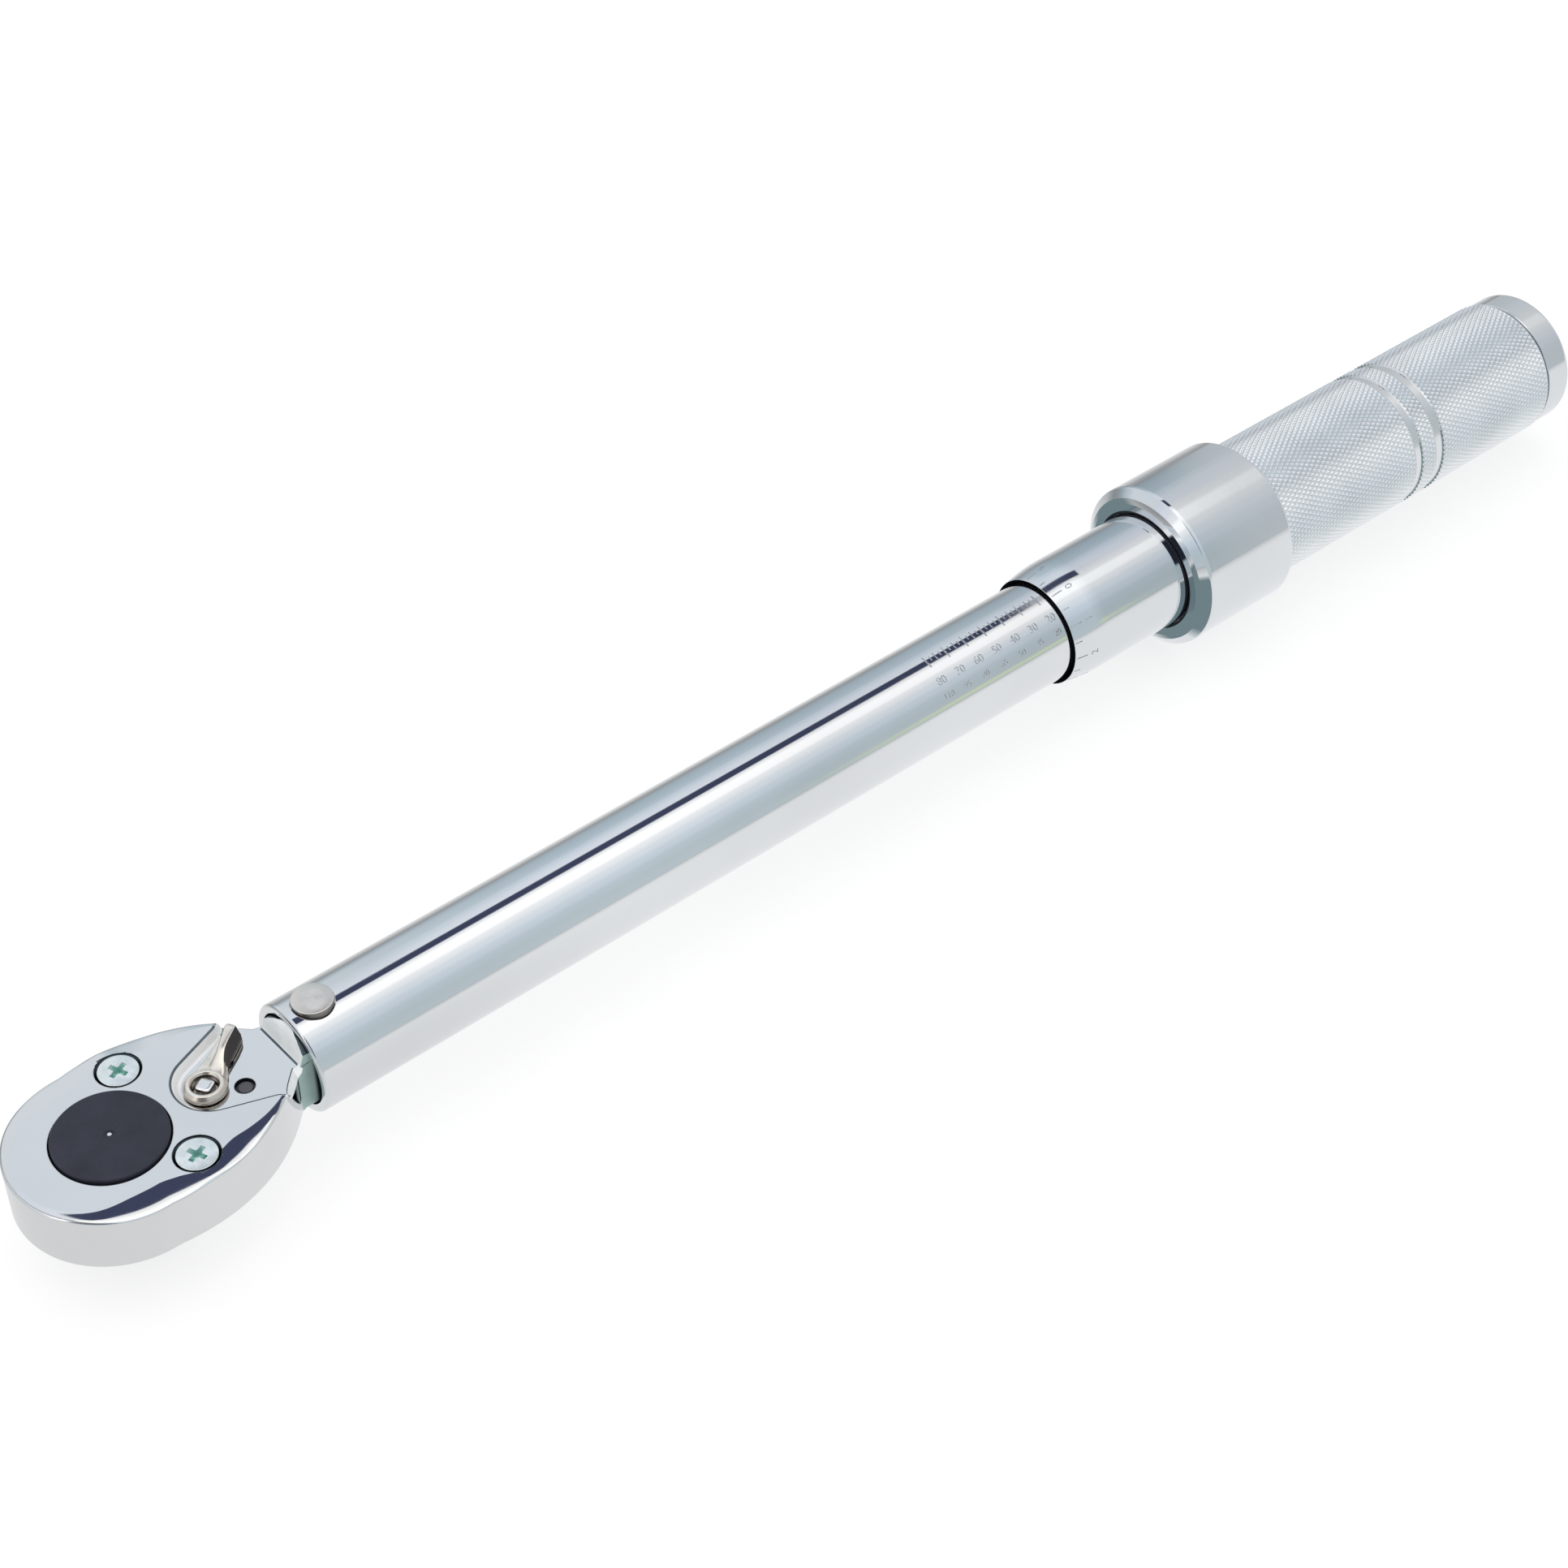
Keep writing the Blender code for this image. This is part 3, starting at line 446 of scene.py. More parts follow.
class Look(Nodes):
    """A node-based material."""

    def __init__(self, name, colour, metallic, roughness):
        self.material = bpy.data.materials.new(name)
        self.material.use_nodes = True
        super().__init__(self.material.node_tree)
        self.shader = self.tree.nodes["Principled BSDF"]
        self.place = self.node("TexCoord", output="Object")
        self.set("Base Color", colour)
        self.set("Metallic", metallic)
        self.set("Roughness", roughness)

    def set(self, name, value):
        self.feed(self.shader.inputs[name], value)

    def finish(self, colour, roughness, normal):
        """Sets the three values that vary over a surface."""
        self.set("Base Color", colour)
        self.set("Roughness", roughness)
        self.set("Normal", normal)
        return self.material

    def noise(self, scale, detail=4, rough=0.55, location=(0, 0, 0)):
        """Noise with so many waves to the metre, the same along every axis or one number for each."""
        scale = scale if isinstance(scale, tuple) else (scale,) * 3
        vector = self.node("Mapping", {"Vector": self.place, "Location": location, "Scale": scale})
        return self.node("TexNoise", {"Vector": vector, "Scale": 1, "Detail": detail, "Roughness": rough})

    def bump(self, height, depth_mm, strength=1, normal=None):
        inputs = {"Strength": strength, "Distance": depth_mm * MM, "Height": height}
        if normal is not None:
            inputs["Normal"] = normal
        return self.node("Bump", inputs)

    def rounded(self, radius_mm):
        """A normal that softens hard corners, for edges too fine to be worth more mesh."""
        return self.node("Bevel", {"Radius": radius_mm * MM}, samples=4)

    def edges(self, radius_mm):
        """1 on corners and 0 on flats, for wear and for painted edge shade."""
        plain = self.node("NewGeometry", output="Normal")
        return self.span(self.dot(self.rounded(radius_mm), plain), 0.99, 0.9)

    def crevice(self, reach_mm):
        """1 in the open and 0 in tight corners, for painted shade."""
        return self.node("AmbientOcclusion", {"Distance": reach_mm * MM}, "AO", samples=8)

    def facing_up(self, low, high):
        """0 where the surface is steep and 1 where it lies flat."""
        return self.step(self.split(self.node("NewGeometry", output="Normal"))[2], low, high)

    def radius_from_axis(self):
        """Distance from the tube's axis, in metres."""
        _, y, z = self.split(self.place)
        height = self.math("SUBTRACT", z, AXIS * MM)
        return self.math("SQRT", self.math("ADD", self.math("POWER", y, 2), self.math("POWER", height, 2)))


# ---------------- materials

def darker(colour, share):
    return tuple(c * share for c in colour)


def chrome(name, colour=(0.8, 0.81, 0.82), rough=(0.035, 0.1), lines=None, peel=0.0035, soft=0.12, painted_edge_shade=0):
    """Mirror chrome plate: smudges, a faint skin texture, polishing lines along one axis, and, when asked,
    painted shade that darkens its edges.
    """
    look = Look(name, colour, 1, rough[0])
    smudge, fine = look.noise(38, 5, 0.6), look.noise(900, 2, 0.5)
    roughness = look.span(smudge, 0.42, 0.72, *rough)
    if lines is not None:
        roughness = look.math("ADD", roughness, look.span(look.noise(lines, 3, 0.6), 0.45, 0.75, 0, 0.05))
    plated = look.blend(look.noise(22, 3, location=(3, 1, 2)), 0.35, 0.7, colour, darker(colour, 0.94))
    # painted shade: the edges are darkened
    if painted_edge_shade:
        plated = look.mix(look.edges(painted_edge_shade), plated, (0.035, 0.045, 0.055))
    skin = look.bump(fine, peel, 0.35, look.rounded(soft) if soft else None)
    return look.finish(plated, roughness, look.bump(smudge, 0.01, 0.15, skin))


def turned_steel(name, colour, rough, axis="Z", anisotropic=0.6):
    """Machined steel: fine tool marks round the piece, and a radial sheen."""
    look = Look(name, colour, 1, rough)
    look.set("Tangent", look.node("Tangent", direction_type="RADIAL", axis=axis))
    look.set("Anisotropic", anisotropic)
    marks = look.noise({"X": (9000, 60, 60), "Z": 700}[axis], 3, 0.6)
    stained = look.blend(look.noise(160), 0.5, 0.8, colour, darker(colour, 0.72), 0.7)
    return look.finish(stained, look.span(marks, 0.3, 0.75, rough * 0.75, rough * 1.35),
                       look.bump(marks, 0.0015, 0.5, look.rounded(0.1)))


def knurl_chrome():
    """Satin chrome over the knurl: smooth worn crests, and valleys painted grey as shade."""
    look = Look("knurl_satin_chrome", (0.8, 0.82, 0.84), 1, 0.24)
    crest = look.span(look.radius_from_axis(), (GRIP_R - 0.3) * MM, (GRIP_R - 0.03) * MM)
    patch = look.noise(70)
    # painted shade: the valleys are greyer than the crests
    depth = look.product(look.math("SUBTRACT", 1, crest), look.span(patch, 0.3, 0.7, 0.55, 0.95))
    roughness = look.math("ADD", look.span(crest, 0, 1, 0.36, 0.24), look.span(patch, 0.35, 0.7, 0, 0.06))
    return look.finish(look.mix(depth, (0.96, 0.97, 0.98), (0.55, 0.57, 0.59)), roughness,
                       look.bump(look.noise(2600, 2), 0.004, 0.4))


def nickel():
    """Tumbled nickel plate on a small casting: warm and a little pitted, with painted shade that makes slopes
    browner and corners darker.
    """
    look = Look("tumbled_nickel", (0.72, 0.67, 0.61), 1, 0.2)
    patch, pits = look.noise(420, 5), look.noise(1700, 2)
    cream = look.blend(patch, 0.4, 0.7, (0.96, 0.89, 0.8), (0.86, 0.79, 0.7))
    # painted shade: steep faces browner than flat tops, and corners darker still
    slope = look.mix(look.facing_up(0.1, 0.7), (0.42, 0.375, 0.33), (0.66, 0.595, 0.52))
    toned = look.mix(look.facing_up(0.72, 0.94), slope, cream)
    return look.finish(look.blend(look.crevice(1.4), 0.3, 0.75, (0.36, 0.31, 0.27), toned),
                       look.span(patch, 0.35, 0.7, 0.15, 0.32),
                       look.bump(pits, 0.012, 0.5, look.bump(patch, 0.05, 0.35, look.rounded(0.25))))


def satin(name, colour, dark, rough=0.3, metallic=1, glow=0):
    """Finely blasted metal with painted shade in its corners. The glow stands in for light caught in the tube's
    mouth; past the tube's front the colour turns near black, painted shade inside the tube.
    """
    look = Look(name, colour, metallic, rough)
    grain = look.noise(1900, 3)
    toned = look.blend(look.noise(180), 0.35, 0.7, colour, dark, 0.5)
    if glow:
        # painted shade inside the tube, past its front
        mouth = look.step(look.split(look.place)[0], (TUBE_FRONT + 0.4) * MM, (TUBE_FRONT + 1.3) * MM, 1, 0)
        toned = look.mix(mouth, (0.01, 0.014, 0.018), toned)
        look.set("Emission Color", toned)
        look.set("Emission Strength", glow)
    else:
        # painted shade in corners
        toned = look.blend(look.crevice(1), 0.3, 0.8, dark, toned)
    return look.finish(toned, look.span(grain, 0.3, 0.7, rough * 0.85, rough * 1.2),
                       look.bump(grain, 0.003, 0.3, look.rounded(0.12)))


def black_oxide(name="black_oxide_steel", colour=(0.034, 0.036, 0.056)):
    """Blackened steel: blue-black and finely grained, rubbed to grey on its corners."""
    look = Look(name, colour, 0.35, 0.5)
    grain, patch = look.noise(2200, 3), look.noise(120, 5)
    toned = look.blend(patch, 0.35, 0.7, colour, darker(colour, 0.66))
    worn = look.product(look.edges(0.12), look.span(patch, 0.35, 0.6, 0.1, 0.6))
    return look.finish(look.mix(worn, toned, (0.22, 0.23, 0.25)), look.span(grain, 0.3, 0.7, 0.4, 0.58),
                       look.bump(grain, 0.006, 0.5, look.rounded(0.12)))


def zinc():
    """Bright zinc plate with its pale green cast. The deep faces of the cross recess are painted darker and
    greener, as shade.
    """
    look = Look("bright_zinc", (0.92, 0.95, 0.935), 1, 0.25)
    patch = look.noise(600)
    z, top = look.split(look.place)[2], SCREW_TOP + AXIS
    toned = look.blend(patch, 0.4, 0.7, (0.92, 0.95, 0.935), (0.8, 0.86, 0.845))
    # painted shade: the deep faces of the cross recess are darker and greener
    return look.finish(look.blend(z, (top - 0.12) * MM, (top - 0.5) * MM, toned, (0.6, 0.8, 0.75)),
                       look.span(patch, 0.35, 0.7, 0.2, 0.36), look.bump(patch, 0.01, 0.4, look.rounded(0.1)))


def speckled(name, colour, rough, waves, tones, roughs, bump=None):
    """Bare metal with patches of another tone, rougher where they are. The tones and the roughnesses are each
    (where the patches begin, where they are full, from, to)."""
    look = Look(name, colour, 1, rough)
    patch = look.noise(*waves)
    look.set("Base Color", look.blend(patch, *tones))
    look.set("Roughness", look.span(patch, *roughs))
    if bump:
        look.set("Normal", look.bump(patch, *bump))
    return look.material


TUBE_LOOK = chrome("tube_mirror_chrome", rough=(0.02, 0.065), lines=(18, 2600, 2600))
# the head's chrome has painted shade along its edges
HEAD_LOOK = chrome("head_mirror_chrome", (0.82, 0.823, 0.823), (0.04, 0.11), None, 0.004, 0.15, 0.25)
# painted shade for the head's holes, breaks, gaps and the inside of the tube
PAINTED_SHADE_LOOK = satin("painted_shade_line", (0.15, 0.19, 0.21), (0.05, 0.07, 0.08), 0.35)
# painted highlight: the recess's walls are a near-white matt for the streak of light they catch, with painted
# shade in their corners
RECESS_WALL_HIGHLIGHT_LOOK = satin("recess_wall_painted_highlight", (0.97, 0.975, 0.98), (0.8, 0.83, 0.84), 0.3, 0)
# painted highlight: the neck's facet and ramp are a near-white, barely metallic satin, with painted shade in
# their corners
NECK_FACET_HIGHLIGHT_LOOK = satin("neck_facet_painted_highlight", (0.92, 0.945, 0.95), (0.55, 0.6, 0.61), 0.35, 0.1)
# painted light: the tang's flank in the tube's mouth is a glowing teal, turning near black inside the tube as
# painted shade
TANG_FLANK_LIGHT_LOOK = satin("tang_flank_painted_light", (0.36, 0.5, 0.47), (0.25, 0.33, 0.31), 0.5, 0, 0.11)
# painted shade on the pivot pin's side wall
PIN_SIDE_SHADE_LOOK = satin("pin_side_painted_shade", (0.3, 0.275, 0.25), (0.1, 0.09, 0.08), 0.35)
SEAT_LOOK = black_oxide("detent_seat_steel", (0.11, 0.105, 0.125))
# painted shade on the lever tab's steep right side
TAB_SIDE_SHADE_LOOK = black_oxide("tab_side_painted_shade", (0.05, 0.046, 0.044))
TURNED_LOOK = chrome("turned_mirror_chrome", (0.77, 0.79, 0.81), (0.04, 0.11), (3000, 30, 30), 0.003, 0.1)
KNURL_LOOK = knurl_chrome()
BAND_LOOK = chrome("turned_band_chrome", (0.8, 0.81, 0.82), (0.1, 0.2), (5200, 40, 40), 0.002, 0)
NICKEL_LOOK = nickel()
BLACK_LOOK = black_oxide()
ZINC_LOOK = zinc()
SPRING_LOOK = speckled("spring_wire", (0.2, 0.2, 0.23), 0.3, (260, 5),
                       (0.4, 0.7, (0.2, 0.2, 0.23), (0.12, 0.11, 0.12)), (0.35, 0.7, 0.22, 0.42), (0.01, 0.4))
BALL_LOOK = speckled("bearing_ball", (0.82, 0.82, 0.84), 0.05, (900, 3),
                     (0.4, 0.8, (0.82, 0.82, 0.84), (0.68, 0.68, 0.7)), (0.4, 0.7, 0.04, 0.14))
MARK_LOOK = speckled("stamped_mark", (0.7, 0.72, 0.74), 0.5, (2500, 3),
                     (0.35, 0.7, (0.8, 0.82, 0.84), (0.5, 0.52, 0.55)), (0.3, 0.7, 0.42, 0.6), (0.01, 0.5))
PIN_LOOK = turned_steel("spun_pin_steel", (0.8, 0.755, 0.7), 0.24, anisotropic=0.8)
SHANK_LOOK = turned_steel("shaft_end_steel", (0.86, 0.86, 0.86), 0.22, anisotropic=0)
LATHE_LOOK = turned_steel("lathe_turned_steel", (0.56, 0.56, 0.56), 0.3, "X")
# dark unplated bore steel, also used as painted shade in the gaps at the sleeve's and the collar's fronts
BORE_AND_GAP_SHADE_LOOK = turned_steel("dark_bore_and_painted_gap_shade", (0.05, 0.05, 0.06), 0.5, "X", anisotropic=0)
SLOT_LOOKS = {"polished_chrome": TURNED_LOOK, "knurled_chrome": KNURL_LOOK, "warm_nickel": NICKEL_LOOK,
              "black_oxide": BLACK_LOOK, "zinc_plate": ZINC_LOOK, "turned_steel": LATHE_LOOK,
              "spring_steel": SPRING_LOOK, "bearing_steel": BALL_LOOK}


# ---------------- stamped marks on round surfaces

def glyphs(text, size):
    """The solid letters of a short number, centred on the origin, as points and faces in millimetres."""
    curve = bpy.data.curves.new("figures", "FONT")
    curve.body = text
    curve.size = size
    curve.extrude = 0.5
    curve.align_x = curve.align_y = "CENTER"
    curve.resolution_u = 3
    obj = added("figures", curve)
    mesh = evaluated(obj)
    weld(mesh, 0.0004, True)
    points, faces = [tuple(v.co) for v in mesh.vertices], [tuple(p.vertices) for p in mesh.polygons]
    bpy.data.objects.remove(obj, do_unlink=True)
    bpy.data.curves.remove(curve)
    bpy.data.meshes.remove(mesh)
    return points, faces


def dash(length_along, length_round):
    """A plain stamped line as points and faces in millimetres."""
    far = (length_along / 2, length_round / 2)
    points = [(x, y, z) for z in (-0.5, 0.5) for x, y in rectangle((-far[0], -far[1]), far)]
    return points, [(3, 2, 1, 0), (4, 5, 6, 7), (0, 1, 5, 4), (1, 2, 6, 5), (2, 3, 7, 6), (3, 0, 4, 7)]


def stamp(target, marks, radius_at, depth=0.12):
    """Cuts dull marks into a round piece. Each is (points, faces, x, degrees, turn on the spot)."""
    points, faces = [], []
    for shape, polygons, x, degrees, turn in marks:
        faces += [tuple(len(points) + i for i in polygon) for polygon in polygons]
        spin = Matrix.Rotation(math.radians(turn), 2)
        for px, py, pz in shape:
            flat = spin @ Vector((px, py))
            radius = radius_at(x + flat.x)
            angle = math.radians(degrees) - flat.y / radius
            height = radius - depth if pz < 0 else radius + 0.4
            points.append((x + flat.x, height * math.cos(angle), height * math.sin(angle)))
    cutter = mesh_piece("marks", points, faces, 0)
    for obj in (target, cutter):
        obj.data.materials.append(MARK_LOOK)
    boolean(target, cutter)


# ---------------- tube and pin

def build_tube():
    profile = eased([(TUBE_R, TUBE_FRONT, 0.7), (TUBE_R, TUBE_BACK, 0.3), (TUBE_BORE, TUBE_BACK, 0.2),
                     (TUBE_BORE, TUBE_FRONT, 0.3)], 6)
    tube = lathe("chromed_tube", profile, 256)
    tube.data.materials.append(TUBE_LOOK)
    hole, face, depth, clear = 3.05, 4.15, 10.1, 14
    cut = [(0, -clear), (face, -clear), (face, -depth), (hole, -depth), (hole, depth), (face, depth),
           (face, clear), (0, clear)]
    cutters = [upright("pin_hole", cut, 96, (PIVOT_X, 0)),
               bar("nut_pin_hole", 1.8, -clear, clear, (middle("nut_pin_upper"), 0), 32)]
    for turn in range(0, 360, 36):
        corners = spun(rectangle((-1.8, 9.8), (1.8, 12)), turn)
        ends = (BALL_X - 35.22, BALL_X + 2.2)
        cutters.append(stack("lock_groove", [[(x, y, z) for y, z in corners] for x in ends]))
    boolean(tube, *cutters)
    first, pitch = 190.8, 5.08
    marks = []
    for k in range(7):
        x = first + pitch * k
        marks.append((*dash(0.32, 3), x, 100, 0))
        if k < 6:
            for share, length in ((0.25, 1.1), (0.5, 1.9), (0.75, 1.1)):
                marks.append((*dash(0.2, length), x + pitch * share, 98, 0))
        marks.append((*glyphs(str(80 - 10 * k), 2.5), x, 126, 0))
        marks.append((*glyphs(str(110 - 15 * k), 1.9), x, 143, 0))
    stamp(tube, marks, lambda x: TUBE_R)
    tidy(tube)
    line_bore(tube, TUBE_BORE + 0.05)
    ride(tube, "housing", None, "polished_chrome", "outer_tube")


def build_pin():
    head, shank, tail, seat = 3.97, 2.9, 3.9, 10.3
    top = PIN_TOP + 0.4
    profile = eased([(0, PIN_TAIL, 0), (tail, PIN_TAIL, 0.5), (tail, -seat, 0.1), (shank, -seat, 0),
                     (shank, seat, 0), (head - 0.1, seat, 0.1), (head, 10.9, 0.2), (head, top - 0.12, 0.22),
                     (2.2, top, 0.6), (0, top + 0.02, 0)], 6, False)
    pin = upright("hinge_pin", profile, 96, (PIVOT_X, 0))
    # the pin's side wall gets the painted shade
    paint(pin, (PIN_LOOK, PIN_SIDE_SHADE_LOOK), lambda at, normal: int(abs(normal.z) < 0.35))
    ride(pin, "housing", None, "turned_steel", "pivot_pin")


# ---------------- head

# How far in from the rim the polished face begins to fall away, along the head, and how steeply it then falls.
FALL_WIDTH = [(-19, 1.2), (-13, 2.4), (-6, 4.6), (0, 5), (4, 4.4), (8.8, 2.9), (13, 4.1), (17, 4.4), (21, 3.2),
              (25, 1.9), (29, 1), (34, 0.6), (38, 0.5)]
FALL = [(1, 0), (0.95, 5), (0.88, 7.4), (0.7, 9), (0.5, 10.6), (0.34, 11.8), (0.2, 13.5), (0.1, 20)]
# Depth of the facet along the neck's near edge, and how far the ramp has risen there, along the head.
FACET = [(29.2, 0.1), (30.2, 1), (32, 1.35), (34, 1.25), (35.3, 1), (36.4, 0.6), (37.6, 0.3)]
RAMP = [(34.5, 0), (34.95, 0.06), (35.3, 0.3), (35.6, 0.8), (35.9, 1.65), (36.2, 2.65), (36.5, 3.5),
        (36.9, 4.2), (37.4, 4.6), (38, 4.75)]


def head_half(count=44):
    """The head's outline above the X axis, from the nose to the neck."""
    nose = arc(HEAD_NOSE, 180, 88, 40)
    start, end = Vector(nose[-1]), Vector((NECK_X, NECK_HALF))
    swell, draw_in = Vector((14, 21)), Vector((25, 16.8))
    flank = []
    for i in range(1, count + 1):
        t = i / count
        s = 1 - t
        point = start * s ** 3 + swell * 3 * s * s * t + draw_in * 3 * s * t * t + end * t ** 3
        flank.append((point.x, point.y))
    return nose + flank + [(35.2, 6.82), (36.4, 6.46), (37.6, TANG_HALF)]


def head_outline():
    """The whole outline, with a few points across the neck's end so that both halves stay even."""
    upper = head_half()
    end = upper[-1]
    return upper + [(end[0], end[1] * k / 3) for k in (2, 1, 0, -1, -2)] + mirrored(upper)[:-1]


def head_body():
    """The head's solid: a flat face that falls away to a round edge, an upright wall and a bottom rim."""
    outline = head_outline()
    widths = [between(x, FALL_WIDTH) for x, _ in outline]
    edge, bottom = 0.42, 0.6
    rings, falls = [], []
    for turn in (0, 30, 60, 90):
        a = math.radians(turn)
        z = -HEAD_HALF + bottom * (1 - math.cos(a))
        rings.append([(x, y, z) for x, y in inward(outline, bottom * (1 - math.sin(a)))])
    fall, last = 0, 1
    for share, slope in FALL:
        fall += (last - share) * math.tan(math.radians(slope))
        last = share
        falls.append((share, fall))
    for turn in (0, 25, 50, 72):
        a = math.radians(turn)
        top = HEAD_HALF - edge * (1 - math.sin(a)) - 0.02
        ring = inward(outline, edge * (1 - math.cos(a)))
        rings.append([(x, y, top - fall * width) for (x, y), width in zip(ring, widths)])
    for share, fall in reversed(falls):
        ring = inward(outline, [max(share * width, edge * 0.8) for width in widths])
        rings.append([(x, y, HEAD_HALF - fall * width) for (x, y), width in zip(ring, widths)])
    return stack("ratchet_head_body", rings)


def lever_recess():
    """The recess widens towards the neck and runs out over its edge. Its walls slope down to a fillet at the
    floor, and a narrow break runs round the top, painted dark as shade."""
    centre, radius, splay = (21.2, 0), 7.8, 20.5
    nose = arc(radius, 90 + splay, 270 - splay, 48, centre)
    corner_x = 28.1
    corner_y = nose[0][1] + (corner_x - nose[0][0]) * math.tan(math.radians(splay))
    mouth = [(42, 13, 0), (29.9, 13, 0), (corner_x, corner_y, 2.4), (*nose[0], 0)]
    half = eased(mouth, 6, False)[:-1]
    walls = ((1.75, FLOOR_Z), (1.38, FLOOR_Z + 0.06), (1.1, FLOOR_Z + 0.24), (0.52, HEAD_HALF - 0.5),
             (0.4, HEAD_HALF - 0.2), (0, HEAD_HALF - 0.03), (0, 9))
    outline = mirrored(half) + half + nose
    return stack("lever_recess", [[(x, y, z) for x, y in inward(outline, inset)] for inset, z in walls])


def neck_facet():
    """Cutter for the facet along the near upper edge of the neck, rising with the ramp."""
    rings = []
    for x, y in [p for p in head_half() if p[0] > 29.2]:
        drop, top = between(x, FACET), FLOOR_Z + between(x, RAMP)
        line, inner, outer, foot = min(0.45, drop), y - drop * 1.15, y + 1.2, top - drop - 0.25
        section = [(inner - line, top + 0.03), (inner, top - 0.05), (y + 0.25, foot), (outer, foot),
                   (outer, top + 0.03)]
        rings.append([(x, -across, height) for across, height in section])
    return stack("neck_facet", rings)


def plate_outline(inset, back):
    top = [p for p in inward(head_outline(), inset) if p[0] <= back and p[1] >= 0]
    return top + mirrored(top)[:-1]


def build_tang():
    """Round tang in the tube's mouth, with a smooth ramp down to the neck above and below, and its tongue."""
    radius, back = 8.95, 51
    tang = lathe("tang", eased([(0, 33.5, 0), (radius, 33.5, 0), (radius, back, 0.8), (0, back, 0)], 6, False),
                 192, loop=False)
    cutters = [slab("flat", rectangle((30, low), (60, high)), -12, 12)
               for low, high in ((TANG_HALF, 12), (-12, -TANG_HALF))]
    for foot, sign in ((FLOOR_Z, 1), (HEAD_HALF, -1)):
        scale = (radius + 0.1 - foot) / RAMP[-1][1]
        profile = [(20, foot * sign)] + [(x, (foot + rise * scale) * sign) for x, rise in RAMP]
        profile += [(38, 14 * sign), (20, 14 * sign)]
        cutters.append(stack("ramp", [[(x, y, z) for x, z in profile] for y in (-15, 15)]))
    boolean(tang, *cutters)
    sides = [(back - 4, TANG_HALF), (back + 4, TANG_HALF), (88, 4.5)]
    return tang, slab("tongue", sides + mirrored(sides), -6, 6, 0.2)


def in_recess(x, y):
    """Whether a place belongs to the lever's recess, with its walls."""
    if x < 21.2:
        return math.hypot(x - 21.2, y) < 7.95
    return abs(y) < 8.45 + (x - 21.2) * 0.374


def head_finish(at, normal):
    """0 polished, 1 painted shade in holes, breaks and the tube's inside, 2 the recess's wall with its painted
    highlight, 3 the tang's flank with painted light, 4 the neck's facet with its painted highlight.
    """
    x, y, z = at
    if normal.z > 0.99 and (z > HEAD_HALF - 0.02 or abs(z - FLOOR_Z) < 0.02):
        return 0
    # painted shade in the countersinks, the hub's well, the detent pockets and the tube's inside
    if math.hypot(x - SCREW_X, abs(y) - SCREW_Y) < 4.4 and z > 0 or at.xy.length < HUB_BORE + 0.4 and z > 3.2:
        return 1
    pocket = polar(6.9, LEVER_ANGLE, (PAWL_X, 0))
    if math.hypot(x - pocket[0], abs(y) - pocket[1]) < 2 and z < FLOOR_Z - 0.05:
        return 1
    flank = x > 33.4 and abs(normal.y) > 0.92 and abs(y) < 7.2
    if x > 37.4 or flank:
        return 3 if flank or x < 38.5 and normal.z < 0.3 else 1
    if x > 28.6 and normal.z > 0.3 and abs(normal.y) > 0.05 and z > 2:
        return 1 if normal.z > 0.9 else 4
    if x > 34.4 and z > FLOOR_Z + 0.005 and abs(y) < 6.3:
        return 0 if x < 34.9 else 1 if x < 35.2 else 4
    if x < 29 and z > FLOOR_Z + 0.02 and in_recess(x, y):
        return 1 if z > HEAD_HALF - 0.3 and 0.25 < normal.z < 0.97 else 2 if z < HEAD_HALF - 0.15 else 0
    return 0


def build_head():
    head = head_body()
    head.data.materials.append(HEAD_LOOK)
    boolean(head, lever_recess())
    boolean(head, *build_tang(), operation="UNION")
    boolean(head, neck_facet())
    well = [(0, -8), (GEAR_R + 0.4, -8), (GEAR_R + 0.4, 3), (HUB_BORE, 3), (HUB_BORE, 9), (0, 9)]
    room = [(6, 6.6), (10.2, 8.9), (11.6, 10.1), (12.4, 10.1), (20.2, 6.9)]
    cutters = [upright("well", well, 192),
               slab("pawl_room", room + mirrored(room), -8, 2.6),
               bar("pawl_tail_room", 6.9, -8, 2.6, (PAWL_X, 0)),
               slab("plate_seat", plate_outline(1.9, 29), -8, -3.5)]
    hole, sink, rim = 2.1, 4.3, SCREW_TOP - 0.3
    for side in (-1, 1):
        profile = [(0, -8), (hole, -8), (hole, rim - sink + hole), (sink, rim), (sink, 8), (0, 8)]
        cutters.append(upright("sink", profile, 96, (SCREW_X, SCREW_Y * side)))
        cutters.append(bar("pocket", 1.9, 3.2, 8, polar(6.9, LEVER_ANGLE * side, (PAWL_X, 0))))
    cutters.append(bar("shaft_hole", 3.25, 1, 8, (PAWL_X, 0)))
    cutters.append(bar("pivot_hole", 3.1, -12, 12, (PIVOT_X, 0)))
    boolean(head, *cutters)
    tidy(head)
    paint(head, (HEAD_LOOK, PAINTED_SHADE_LOOK, RECESS_WALL_HIGHLIGHT_LOOK, TANG_FLANK_LIGHT_LOOK, NECK_FACET_HIGHLIGHT_LOOK), head_finish)
    dish = eased([(0, 3.25, 0), (1.85, 3.25, 0), (1.85, 3.4, 0.05), (1.45, 3.42, 0), (1.42, 4, 0.3),
                  (0, 4.22, 0)], 4, False)
    for side, word in ((1, "upper"), (-1, "lower")):
        seat = upright(f"detent_seat_{word}", dish, 48, polar(6.95, LEVER_ANGLE * side, (PAWL_X, 0)))
        ride(seat, "head", SEAT_LOOK, "turned_steel")
    ride(head, "head", None, "polished_chrome", "ratchet_head")


